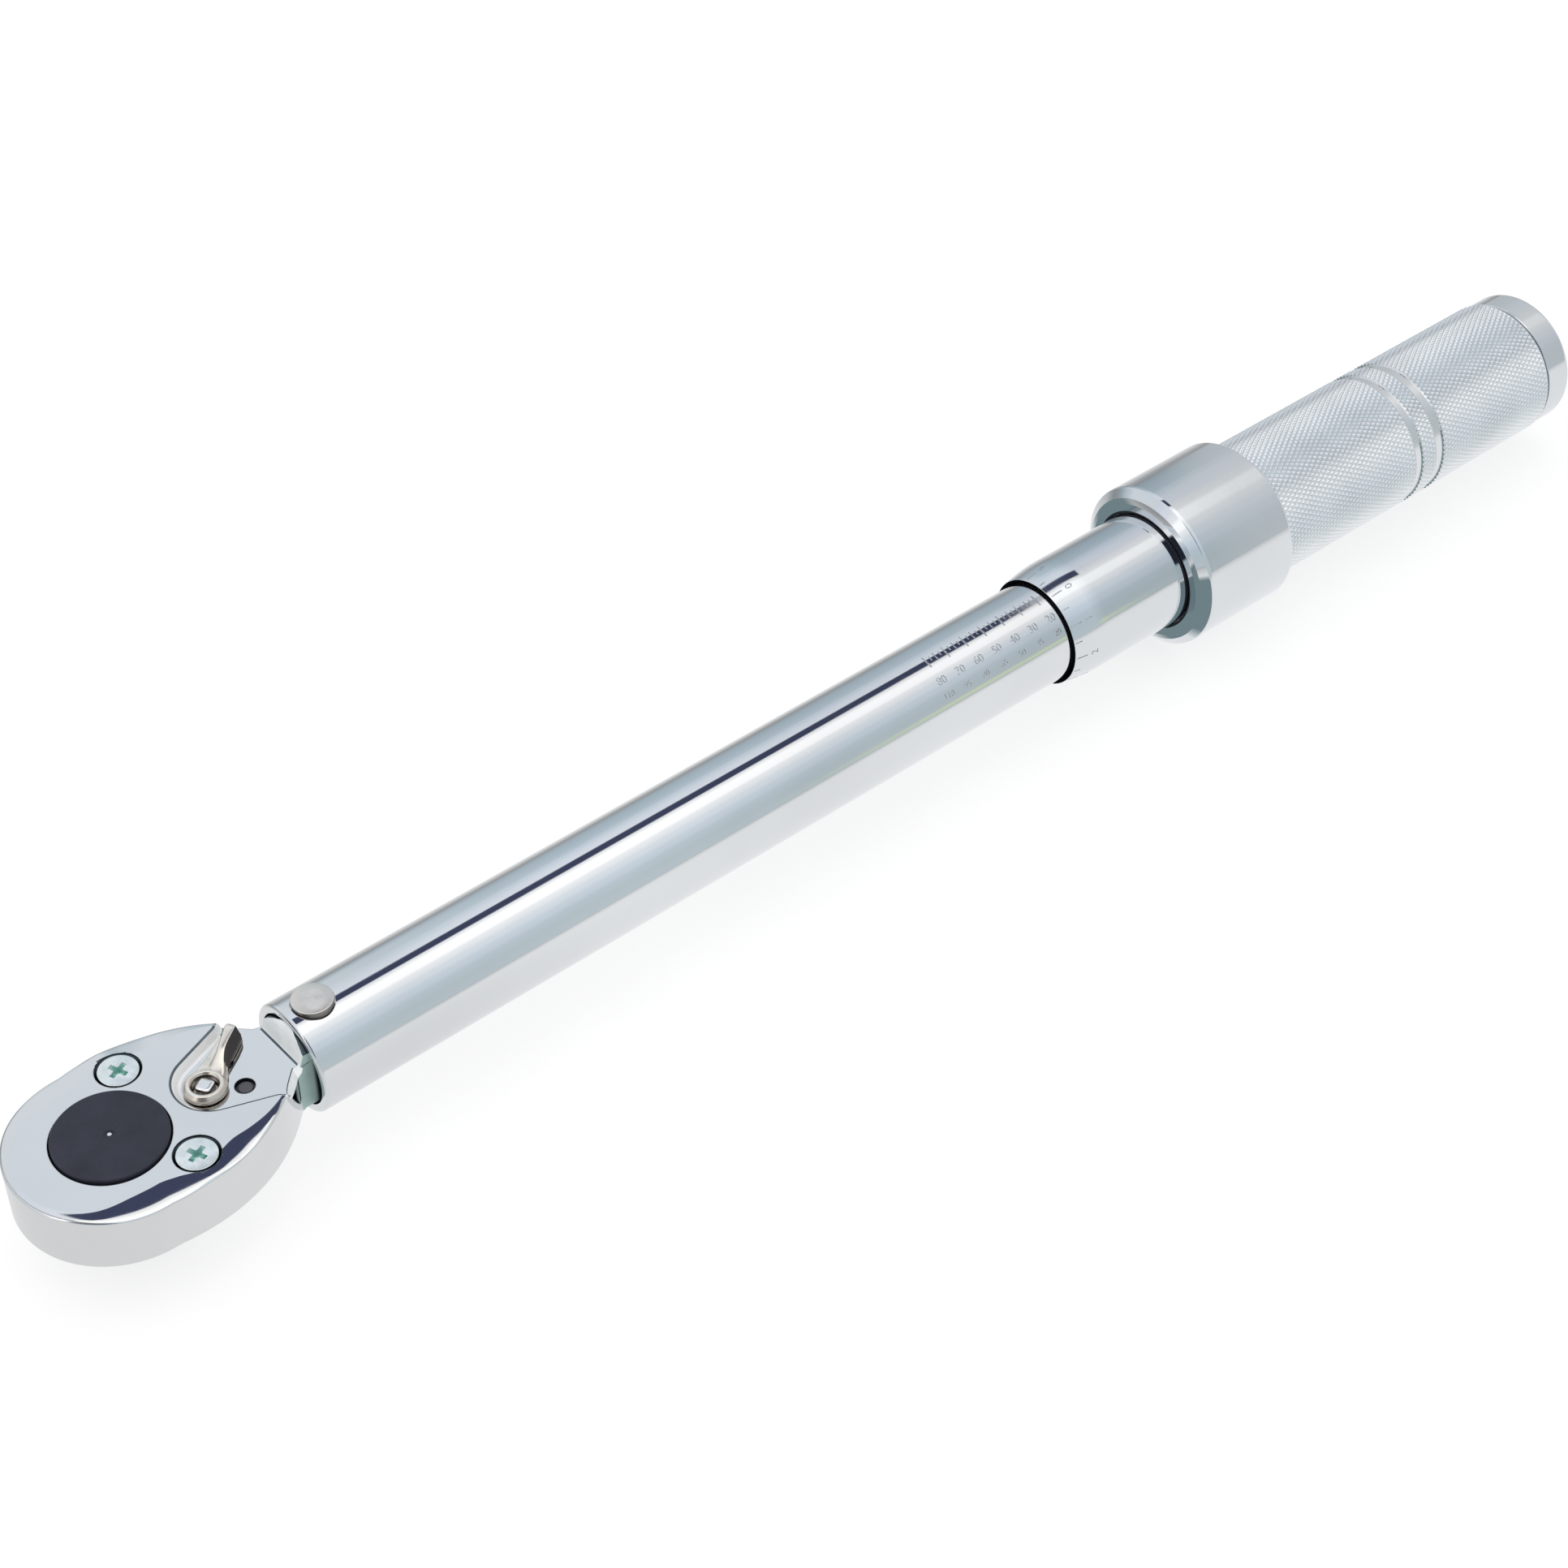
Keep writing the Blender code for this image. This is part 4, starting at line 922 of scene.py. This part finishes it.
def build_cover_plate():
    plate = slab("cover_plate_polished", plate_outline(1.9 + GAP, 28.4), -HEAD_HALF, -3.5 - GAP, 0.35)
    holes = [bar("journal", 9.9, -9, 0, (0, 0), 160), bar("foot", 2.3, -9, 0, (PAWL_X, 0))]
    holes += [bar("screw", 2.1, -9, 0, (SCREW_X, SCREW_Y * side)) for side in (-1, 1)]
    boolean(plate, *holes)
    tidy(plate)
    ride(plate, "head", HEAD_LOOK, "polished_chrome", "cover_plate")


def build_cover_screw(word, side):
    """Countersunk screw with a cross recess whose arms narrow towards the bottom."""
    radius, shank, foot, rim = 3.8, 1.9, -5.9, SCREW_TOP - 0.3
    at = (SCREW_X, SCREW_Y * side)
    profile = eased([(0, foot, 0), (shank, foot, 0.25), (shank, rim - radius + shank, 0), (radius, rim, 0.08),
                     (radius, SCREW_TOP, 0.16), (0, SCREW_TOP + 0.05, 0)], 4, False)
    screw = upright(f"head_screw_{word}", profile, 96, at)
    tools = []
    for turn in (22, 112):
        rings = []
        for z, length, width in ((-1.7, 0.9, 0.34), (-0.3, 1.85, 0.5), (0.6, 2.1, 0.56)):
            corners = spun(rectangle((-length, -width), (length, width)), turn, at)
            rings.append([(x, y, SCREW_TOP + z) for x, y in corners])
        tools.append(stack("cross", rings))
    pit = [(0, -2), (0.5, -1.7), (1, 0.6), (0, 0.6)]
    tools.append(upright("cross_middle", [(r, SCREW_TOP + z) for r, z in pit], 32, at))
    boolean(screw, *tools)
    tidy(screw)
    ride(screw, "head", ZINC_LOOK, "zinc_plate", f"cover_screw_{word}")


# ---------------- reversing lever

def build_lever():
    """A ring round the shaft, a flat wing on one side and a raised thumb tab that leans over the other."""
    low, bore = FLOOR_Z + GAP, 2.45
    ring = [(bore, low, 0), (4.05, low, 0.2), (4.1, 5.45, 0.6), (3.3, 6.25, 0.45), (2.8, 6.2, 0.3),
            (bore, 5.8, 0.2)]
    boss = lathe("nickel_reversing_lever", eased(ring, 6), 96, (PAWL_X, 0, 0), UP)
    # Cross sections of the arm from the boss to the tip: distance from the shaft, the tab's foot and right
    # shoulder, its left shoulder, its top, the wing's top and the wing's left edge.
    stations = [(1.4, -3.3, -2.6, 0.6, 5.75, 5.7, 3.3), (3.7, -2.7, -2.1, 0.9, 6.15, 5.8, 3.15),
                (5.1, -1.85, -1.5, 0.9, 6.7, 5.7, 3), (6.2, -1.55, -1.05, 0.85, 7.35, 5.55, 2.95),
                (7.7, -1.5, -0.55, 1, 7.95, 5.45, 2.95), (10, -1.35, -0.4, 1.4, 8.15, 5.45, 2.95),
                (12.2, -1.15, -0.35, 1.9, 8.25, 5.5, 2.85), (13.6, -0.85, -0.15, 1.9, 8.15, 5.55, 2.5)]
    rings = []
    for along, foot, tab_right, tab_left, top, wing, left in stations:
        ledge = (low + top) / 2 - 0.3
        section = [(foot, low), (foot - 0.05, low + 0.4), (foot - 0.05, ledge), (foot + 0.3, ledge + 0.2),
                   (tab_right, top - 0.2), (tab_right + 0.25, top), (tab_left - 0.3, top + 0.05),
                   (tab_left, top - 0.3), (tab_left + 0.2, (top + wing) / 2), (tab_left + 0.55, wing - 0.05),
                   (left - 0.7, wing + 0.1), (left - 0.1, wing - 0.05), (left, wing - 0.4), (left, low + 0.2),
                   (left - 0.2, low), (0, low)]
        flat = spun([(along, across) for across, _ in section], LEVER_ANGLE, (PAWL_X, 0))
        rings.append([(x, y, z) for (x, y), (_, z) in zip(flat, section)])
    arm = stack("arm", rings)
    arm.modifiers.clear()
    work = bmesh.new()
    work.from_mesh(arm.data)
    crease = work.edges.layers.float.new("crease_edge")
    for edge in work.edges:
        if all((v.co.z / MM - AXIS) < low + 0.01 for v in edge.verts):
            edge[crease] = 1
    work.to_mesh(arm.data)
    work.free()
    arm.modifiers.new("soft", "SUBSURF").levels = 3
    arm.data = evaluated(arm)
    boolean(boss, arm, operation="UNION")
    boolean(boss, bar("clear", bore, 3, 9, (PAWL_X, 0), 64),
            bar("pocket", 1.25, 3, 5.2, polar(6.9, LEVER_ANGLE, (PAWL_X, 0)), 32))
    tidy(boss, 38)
    back = Matrix.Rotation(-math.radians(LEVER_ANGLE), 2)

    def choose(at, normal):
        """Painted shade on the tab's steep right side, nickel elsewhere."""
        spot, facing = back @ (at.xy - Vector((PAWL_X, 0))), back @ normal.xy
        return int(spot.x > 5.3 and spot.y < 0.3 and -facing.y > 0.62 and at.z > low + 0.25)

    paint(boss, (NICKEL_LOOK, TAB_SIDE_SHADE_LOOK), choose)
    ride(boss, "reverser", None, "warm_nickel", "reversing_lever")


def build_lever_shaft():
    """Round shaft whose top end is a soft square, seen in the lever's ring."""
    count, side = 64, 1.5
    rings = []
    for radius, z in ((2, -5.6), (2, -3.6), (3, -3.55), (3, 4.05), (2.7, 4.1)):
        rings.append([(*polar(radius, LEVER_ANGLE + 360 * k / count, (PAWL_X, 0)), z) for k in range(count)])
    for inset, z in ((0, 4.15), (0, 5.55), (0.08, 5.8), (0.3, 5.97), (0.8, 6.08)):
        ring = []
        for k in range(count):
            c, s = math.cos(TAU * k / count), math.sin(TAU * k / count)
            radius = side / (abs(c) ** 5 + abs(s) ** 5) ** 0.2 - inset
            ring.append((*polar(radius, LEVER_ANGLE + 360 * k / count, (PAWL_X, 0)), z))
        rings.append(ring)
    shaft = stack("reverser_shaft", rings)
    inner, outer = polar(1.6, LEVER_ANGLE + 180, (PAWL_X, 0)), polar(5, LEVER_ANGLE, (PAWL_X, 0))
    along = Vector((outer[0] - inner[0], outer[1] - inner[1], 0))
    hole = [(0, 0), (1.25, 0), (1.25, along.length), (0, along.length)]
    boolean(shaft, lathe("cross", hole, 32, (*inner, -0.5), along, False))
    tidy(shaft)
    ride(shaft, "reverser", SHANK_LOOK, "turned_steel", "lever_shaft")


# ---------------- drive

def build_gear():
    teeth, root = 36, 11
    outline = []
    for i in range(teeth):
        gap = 360 / teeth * (i + 0.5)
        tooth = ((GEAR_R, -4.5), (root, -1.2), (root, 1.2), (GEAR_R, 4.5))
        outline += [polar(radius, gap + turn) for radius, turn in tooth]
    gear = slab("ratchet_gear", outline, -3.5, 2.7)
    hub = eased([(0, 0, 0), (HUB_R, 0, 0), (HUB_R, HUB_TOP, 0.4), (1.1, HUB_TOP, 0.12),
                 (0.95, HUB_TOP - 0.25, 0.1), (0.35, HUB_TOP + 0.02, 0.2), (0, HUB_TOP + 0.04, 0)], 5, False)
    foot = eased([(0, -7.6, 0), (7.2, -7.6, 0.3), (7.6, -6.5, 0.2), (9.6, -6.2, 0.3), (9.6, -1, 0),
                  (0, -1, 0)], 4, False)
    half = SQUARE / 2
    soft = eased([(*corner, 0.8) for corner in rectangle((-half, -half), (half, half))], 6)
    ends = ((0, -5), (0, SQUARE_END + 1), (0.08, SQUARE_END + 0.6), (0.32, SQUARE_END + 0.25),
            (0.75, SQUARE_END + 0.04), (1.2, SQUARE_END))
    square = stack("square", [[(x, y, z) for x, y in inward(soft, inset)] for inset, z in ends])
    boolean(gear, upright("hub", hub, 160), upright("foot", foot, 128), square, operation="UNION")
    low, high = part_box("socket_ball")
    centre = (low + high) / 2 / MM
    z, radius, clear = centre.z - AXIS, (high.x - low.x) / 2 / MM, half + 1.6
    hole = eased([(0, 0, 0), (radius + 0.2, 0, 0), (radius + 0.2, half + 0.5, 0.1), (radius + 0.7, clear, 0),
                  (0, clear, 0)], 3, False)
    boolean(gear, lathe("ball_hole", hole, 48, (0, 0.8, z), (0, -1, 0), False))
    tidy(gear)
    paint(gear, (BLACK_LOOK, SHANK_LOOK), lambda at, normal: int(at.z > HUB_TOP - 0.4 and at.xy.length < 0.62))
    ride(gear, "drive", None, "black_oxide", "drive_gear")
    profile = [(radius * math.sin(math.pi * k / 24), -radius * math.cos(math.pi * k / 24)) for k in range(25)]
    ball = lathe("retaining_ball", profile, 48, (centre.x, centre.y, z), (0, 1, 0), False)
    ride(ball, "retainer", BALL_LOOK, "bearing_steel", "socket_ball")


# ---------------- springs

def helix(name, radius, wire, start, end, turns, per_turn=28, sides=12):
    """A round wire wound along X or Y between two points."""
    start, end = Vector(start), Vector(end)
    along = (end - start).normalized()
    side = Vector(UP)
    other = along.cross(side)
    count = int(turns * per_turn)
    rings = []
    for i in range(count + 1):
        angle = TAU * i / per_turn
        out = side * math.cos(angle) + other * math.sin(angle)
        centre = start + (end - start) * (i / count) + out * radius
        rings.append([centre + (out * math.cos(TAU * k / sides) + along * math.sin(TAU * k / sides)) * wire
                      for k in range(sides)])
    return stack(name, rings)


def build_springs():
    """In the wrench the main spring shortens from both ends; here it is two halves that meet in the middle, both
    riding on the housing.
    """
    wire, radius = 1.4, 6.8
    centre, half = (SPRING_FRONT + SPRING_BACK) / 2, (SPRING_BACK - SPRING_FRONT) / 2
    halves = (("front", SPRING_FRONT + wire, centre, "plunger_slide", ["main_spring"]),
              ("back", centre, SPRING_BACK - wire, "screw_feed", []))
    for word, start, end, joint, nodes in halves:
        coil = helix(f"main_spring_{word}", radius, wire, (start, 0, 0), (end, 0, 0), 5.5)
        ride(coil, "housing", SPRING_LOOK, "spring_steel", *nodes)
        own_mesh(coil)
    y1, y0 = span("socket_ball_spring", 1)
    z, fine = middle("socket_ball_spring", 2) - AXIS, 0.2
    small = helix("ball_spring_fine", radius_of("socket_ball_spring") - fine, fine, (0, y0 - fine, z),
                  (0, y1 + fine, z), 5, 20, 8)
    ride(small, "drive", SPRING_LOOK, "spring_steel", "socket_ball_spring")
    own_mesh(small)


# ---------------- sleeve, collar, grip and cap

def sleeve_radius(x):
    """The sleeve's outside, drawn in smoothly towards its front."""
    share = max(0, 1 - (x - SLEEVE_FRONT) / 9.5)
    return SLEEVE_R - 1.05 * share * share


def build_sleeve():
    nose, bore, groove = sleeve_radius(SLEEVE_FRONT), 11.25, 12.3
    profile = [(nose, SLEEVE_FRONT, 0.12)]
    profile += [(sleeve_radius(SLEEVE_FRONT + k + 0.5), SLEEVE_FRONT + k + 0.5, 0) for k in range(10)]
    profile += [(SLEEVE_R, STOP_X - 0.9, 0), (groove, STOP_X - 0.9, 0), (groove, STOP_X + 0.9, 0),
                (SLEEVE_R, STOP_X + 0.9, 0), (SLEEVE_R, SLEEVE_BACK, 0.3), (bore, SLEEVE_BACK, 0),
                (bore, SLEEVE_FRONT + 2, 0), (nose - 0.12, SLEEVE_FRONT + 0.5, 0)]
    sleeve = lathe("graduated_sleeve_chrome", eased(profile), 256, sharp=12)

    def inside(at, normal):
        """The bore, and the front rim's inner half painted dark as shade in the gap at the tube."""
        rim = at.yz.length < nose and at.x < SLEEVE_FRONT + 0.6
        return int(rim or at.yz.normalized().dot(normal.yz) < -0.2)

    paint(sleeve, (TURNED_LOOK, BORE_AND_GAP_SHADE_LOOK), inside)
    hole = [(0, 9), (1.7, 9), (1.7, 16), (0, 16)]
    boolean(sleeve, *[lathe("ball_hole", hole, 48, (BALL_X, 0, 0), (0, 0, side), False) for side in (-1, 1)])
    marks = []
    for k in range(10):
        angle = 108 + 36 * k
        marks.append((*dash(2.6, 0.26), SLEEVE_FRONT + 1.9, angle, 0))
        marks.append((*glyphs(str(k), 2.4), SLEEVE_FRONT + 5.2, angle, 90))
        marks.append((*dash(1.5, 0.26), SLEEVE_FRONT + 1.35, angle + 18, 0))
    stamp(sleeve, marks, sleeve_radius)
    tidy(sleeve, 12)
    ride(sleeve, "handle", None, "polished_chrome", "graduated_sleeve")


def build_collar():
    bore, stop, relief, skirt, lip = 13.15, 13.95, 14.45, 16.25, 13.75
    front, back, travel, skirt_start = COLLAR_FRONT, COLLAR_BACK, 5, STOP_X + 2.3
    stop_front, stop_back = STOP_X - travel - 0.95, STOP_X + 0.95
    profile = eased([(13.3, front + 0.12, 0), (13.6, front, 0), (lip, front, 0), (15.3, front, 0.1),
                     (16.5, front + 0.42, 0.1), (COLLAR_R - 0.1, front + 1.9, 0.35),
                     (COLLAR_R, front + 2.6, 0.5), (COLLAR_R, back - 0.4, 0.9), (COLLAR_R - 0.75, back, 0.5),
                     (skirt, back, 0.2), (skirt, skirt_start, 0), (bore, skirt_start, 0), (bore, stop_back, 0),
                     (stop, stop_back, 0), (stop, stop_front, 0), (bore, stop_front, 0),
                     (bore, BALL_X + 1.9, 0), (relief, BALL_X + 1.9, 0), (relief, BALL_X, 0),
                     (bore, BALL_X - travel, 0), (bore, front + 0.27, 0)], 5)
    collar = lathe("lock_collar_chrome", profile, 256, sharp=16)
    # the collar's bore, and the inner ring of its front face painted dark as shade in the gap at the sleeve
    paint(collar, (TURNED_LOOK, BORE_AND_GAP_SHADE_LOOK), lambda at, normal: int(at.yz.length < lip))
    ride(collar, "collar", None, "polished_chrome", "lock_collar")


def knurl_rows(start, end, around, depth, crest):
    """Rows of a diamond knurl between two planes: (x, radius for each of the points round the bar)."""
    pitch = TAU * crest / around / math.tan(math.radians(30))
    steps = max(4, round((end - start) / pitch * 4))
    rows = []
    for i in range(steps + 1):
        ring = []
        for j in range(around * 4):
            ridge = min(abs((i + j + 2) % 4 - 2), abs((i - j + 2) % 4 - 2))
            ring.append(crest - depth * (1 - min(ridge / 1.45, 1)))
        rows.append((start + (end - start) * i / steps, ring))
    return rows


def build_grip():
    """The grip: knurled zones with plain turned bands, the bore, the web and the mouth."""
    around, depth, groove, blend = 82, 0.26, GRIP_R - 0.45, 0.12
    count = around * 4
    zones = [(GRIP_FRONT + 0.8, GRIP_BANDS[0][0]), (GRIP_BANDS[0][1], GRIP_BANDS[1][0]),
             (GRIP_BANDS[1][1], GRIP_BACK - 0.5)]

    def plain(*places):
        return [(x, [r] * count) for x, r in places]

    rows = plain((GRIP_FRONT, GRIP_R - 0.75), (GRIP_FRONT + 0.5, GRIP_R - 0.3))
    knurled = []
    for number, (start, end) in enumerate(zones):
        first = len(rows)
        rows += knurl_rows(start + blend, end - blend, around, depth, GRIP_R)
        knurled.append((first, len(rows) - 1))
        if number < 2:
            following = zones[number + 1][0]
            rows += plain((end, GRIP_R - depth), (end + blend, groove), (following - blend, groove),
                          (following, GRIP_R - depth))
    rows += plain((GRIP_BACK - 0.4, GRIP_R - 0.3), (GRIP_BACK, GRIP_R - 0.6))
    outside = len(rows)
    web_front, web_back, step = 349, 360, SLEEVE_BACK + 0.5
    mouth, hole, tube_room, sleeve_room = 10, 4.3, TUBE_R + GAP, SLEEVE_R + GAP
    rows += plain((GRIP_BACK, mouth), (web_back, mouth), (web_back, hole), (web_front, hole),
                  (web_front, tube_room), (step, tube_room), (step, sleeve_room), (GRIP_FRONT, sleeve_room))
    points = []
    for x, ring in rows:
        for j, radius in enumerate(ring):
            angle = TAU * j / count
            points.append((x, radius * math.sin(angle), radius * math.cos(angle)))
    faces, kinds = [], []
    for i in range(len(rows)):
        low, high = i * count, ((i + 1) % len(rows)) * count
        cut = next((k for k in knurled if k[0] <= i < k[1]), None)
        for j in range(count):
            n = (j + 1) % count
            quad = (low + j, low + n, high + n, high + j)
            if cut is None:
                faces.append(quad)
                kinds.append(int(rows[i][0] < GRIP_BACK - 1 and i < outside - 2))
                continue
            turn = (i - cut[0] + j) % 2        # so that the diagonal runs along the diamond's ridge
            one, two, three, four = quad[turn:] + quad[:turn]
            faces += [(one, two, three), (one, three, four)]
            kinds += [0, 0]
    mesh = bpy.data.meshes.new("knurled_grip")
    mesh.from_pydata([place(p) for p in points], [], faces)
    mesh.materials.append(KNURL_LOOK)
    mesh.materials.append(BAND_LOOK)
    mesh.polygons.foreach_set("material_index", kinds)
    mesh.shade_smooth()
    mesh.set_sharp_from_angle(angle=math.radians(14))
    ride(added("knurled_grip", mesh), "handle", None, "knurled_chrome", "grip")


def build_end_cap():
    front, edge, spigot = GRIP_BACK + GAP, 1.6, 9.7
    profile = eased([(0, front - 2.4, 0), (spigot, front - 2.4, 0.3), (spigot, front - 0.2, 0),
                     (CAP_R, front - 0.2, 0.25), (CAP_R, CAP_BACK, edge), (11.6, CAP_BACK, 0.3),
                     (11.2, CAP_BACK - 0.35, 0.3), (0, CAP_BACK - 0.35, 0)], 10, False)
    cap = lathe("polished_end_cap", profile, 256, loop=False)
    ride(cap, "handle", TURNED_LOOK, "polished_chrome", "end_cap")


# ---------------- floor, light and camera

# How bright the bench looks in the chrome, across it from the tube, in metres. It fades towards a grey wall.
BENCH = [(-0.6, 0.74), (-0.16, 0.93), (0.042, 0.93), (0.058, 0.82), (0.088, 0.68), (0.18, 0.47), (0.35, 0.4)]
# Brightness of the room by the angle about the tube's axis: 0 is level and far side, 90 is straight up and
# 180 is level on the camera's side.
ROOM = [
    (0, (0.36, 0.4, 0.44)), (8, (0.42, 0.5, 0.56)), (22, (0.47, 0.57, 0.64)), (34, (0.52, 0.62, 0.69)),
    (44, (0.66, 0.75, 0.83)), (52, (0.77, 0.83, 0.91)), (63, (0.84, 0.88, 0.95)), (79, (1, 1.01, 1.02)),
    (87, (1.3, 1.3, 1.3)), (98, (1.28, 1.28, 1.28)), (106, (1.02, 1.04, 1.06)), (120, (0.83, 0.89, 0.95)),
    (134, (0.69, 0.77, 0.85)), (148, (0.58, 0.67, 0.73)), (160, (0.56, 0.645, 0.68)), (180, (0.58, 0.66, 0.7)),
]


def build_floor():
    """A pale bench, white to the camera with a faint shadow, and of falling brightness to the chrome, with the
    wrench's shadow painted into what the chrome sees.
    """
    floor_z, half = cad_low.z - 0.02 * MM, 4
    mesh = bpy.data.meshes.new("studio_floor")
    mesh.from_pydata([(x, y, floor_z) for x, y in rectangle((-half, -half), (half, half))], [], [(0, 1, 2, 3)])
    look = Look("studio_floor", (0.93, 0.93, 0.93), 0, 0.9)
    look.set("Specular IOR Level", 0)
    look.set("Base Color", look.blend(look.noise(40, 3), 0.3, 0.7, (0.3, 0.3, 0.3), (0.29, 0.29, 0.292)))
    look.set("Emission Color", (1, 1, 1))
    look.set("Emission Strength", 0.74)
    x, y, _ = look.split(look.place)
    first, last = BENCH[0][0], BENCH[-1][0]
    tint = Vector((0.975, 0.99, 1))
    levels = [((at - first) / (last - first), tint * level) for at, level in BENCH]
    bench = look.ramp(look.span(y, first, last), levels)
    # painted shadow: near the head the bench looks darker to the chrome
    bench = look.scaled(bench, look.span(x, -0.03, 0.14, 0.84, 1))
    # painted shadow: the bench under and behind the tube looks dark to the collar's front, which looks back
    # along the tube
    arriving = look.split(look.node("NewGeometry", output="Incoming"))
    back = look.product(look.span(arriving[0], 0.12, 0.3), look.span(x, 0.1, 0.16))
    bench = look.node("Emission", {"Color": look.mix(back, bench, (0.2, 0.275, 0.295))})
    mirror = look.node("LightPath", output="Is Glossy Ray")
    seen = look.node("MixShader", {0: mirror, 1: look.shader.outputs[0], 2: bench})
    look.feed(look.tree.nodes["Material Output"].inputs["Surface"], seen)
    mesh.materials.append(look.material)
    added("studio_floor", mesh)


def build_world():
    """A white room with a dark boom over the bench and the dark shape of the camera."""
    world = bpy.data.worlds.new("studio")
    bpy.context.scene.world = world
    world.use_nodes = True
    sky = Nodes(world.node_tree)
    path = sky.node("LightPath").node.outputs
    direction = sky.node("TexCoord", output="Generated")
    x, y, z = sky.split(direction)
    angle = sky.math("ARCTAN2", z, y)
    room = sky.ramp(sky.span(angle, 0, math.pi), [(degrees / 180, colour) for degrees, colour in ROOM], "EASE")

    def band(rise, fall, end=0):
        """1 between two pairs of angles in degrees."""
        return sky.product(sky.step(angle, *map(math.radians, rise)),
                           sky.step(angle, *map(math.radians, fall), 1, end))

    # the wall behind the head's end is brighter, and so is the one over the handle
    panel = sky.product(sky.step(x, 0.28, 0.42, 1, 0), sky.span(angle, 0.05, 0.3),
                        sky.span(angle, 0.8, 0.9, 1, 0))
    room = sky.mix(panel, room, (0.765, 0.81, 0.855))
    handle = sky.product(sky.step(x, 0.602, 0.622, 0, 0.65), sky.span(angle, 1.4, 1.5, 1, 0.8))
    room = sky.mix(handle, room, (0.86, 0.885, 0.9))
    # the boom: dark between two angles, and only over part of the bench's length
    boom = sky.product(band((61.8, 64.6), (75.4, 78.4)), sky.step(x, -0.03, 0.02),
                       sky.step(x, 0.556, 0.566, 1, 0))
    room = sky.mix(boom, room, (0.055, 0.066, 0.122))
    # light falls off towards the handle's end
    room = sky.scaled(room, sky.span(x, 0.45, 0.62, 1, 0.8))
    # the camera and its stand, fainter in what is seen directly in the chrome
    facing = sky.dot(direction, Vector((-0.62, -0.47, 0.63)).normalized())
    dark = sky.product(sky.step(facing, math.cos(math.radians(24)), math.cos(math.radians(18))),
                       sky.span(path["Glossy Depth"], 1, 2, 0.78, 1))
    room = sky.mix(dark, room, (0.02, 0.025, 0.04))
    # a yellow-green card low on the camera's side
    card = sky.product(band((169.5, 173.5), (176, 179), 0.3), sky.step(x, 0.46, 0.54, 0, 0.4),
                       sky.step(x, 0.572, 0.592, 1, 0))
    room = sky.mix(card, room, (0.84, 0.95, 0.42))
    # cameras see plain white, and matt surfaces take an even white light
    lit = sky.mix(path["Is Diffuse Ray"], room, (0.98, 0.98, 0.985))
    background = sky.tree.nodes["Background"]
    sky.feed(background.inputs["Color"], sky.mix(path["Is Camera Ray"], lit, (1, 1, 1)))
    sky.feed(sky.tree.nodes["World Output"].inputs["Surface"], background.outputs[0])


def build_light():
    lamp = bpy.data.lights.new("softbox", "AREA")
    lamp.shape = "RECTANGLE"
    lamp.size, lamp.size_y = 1.2, 0.9
    lamp.energy = 1.6
    softbox = added("softbox", lamp)
    softbox.location = (0.1, 0.25, 1.1)
    softbox.rotation_euler = (Vector((0.18, 0, 0)) - softbox.location).to_track_quat("-Z", "Y").to_euler()
    softbox.visible_glossy = False


def build_camera():
    data = bpy.data.cameras.new("camera")
    data.sensor_width = 36
    data.lens = 71.97
    data.clip_start = 0.01
    camera = added("camera", data)
    azimuth, elevation, roll = math.radians(49.99), math.radians(41.97), math.radians(-0.64)
    forward = Vector((*polar(math.cos(elevation), math.degrees(azimuth)), -math.sin(elevation)))
    level = forward.cross(Vector(UP)).normalized()
    over = level.cross(forward)
    right = level * math.cos(roll) + over * math.sin(roll)
    top = over * math.cos(roll) - level * math.sin(roll)
    turn = Matrix((right, top, -forward)).transposed().to_4x4()
    camera.matrix_world = Matrix.Translation(place((-144.887, -356.506, 416.66))) @ turn
    bpy.context.scene.camera = camera


# ---------------- build everything

build_tube()
build_pin()
build_head()
build_cover_plate()
build_cover_screw("left", 1)
build_cover_screw("right", -1)
build_lever()
build_lever_shaft()
build_gear()
build_springs()
build_sleeve()
build_collar()
build_grip()
build_end_cap()

for entry in frame["record"]["subparts"]:
    kept = frame["nodes"][entry["node"]]
    if not kept.hide_render:
        kept.data.materials.clear()
        kept.data.materials.append(SLOT_LOOKS[entry["material_slot"]])

build_floor()
build_world()
build_light()
build_camera()
bpy.context.scene.view_settings.view_transform = "Standard"
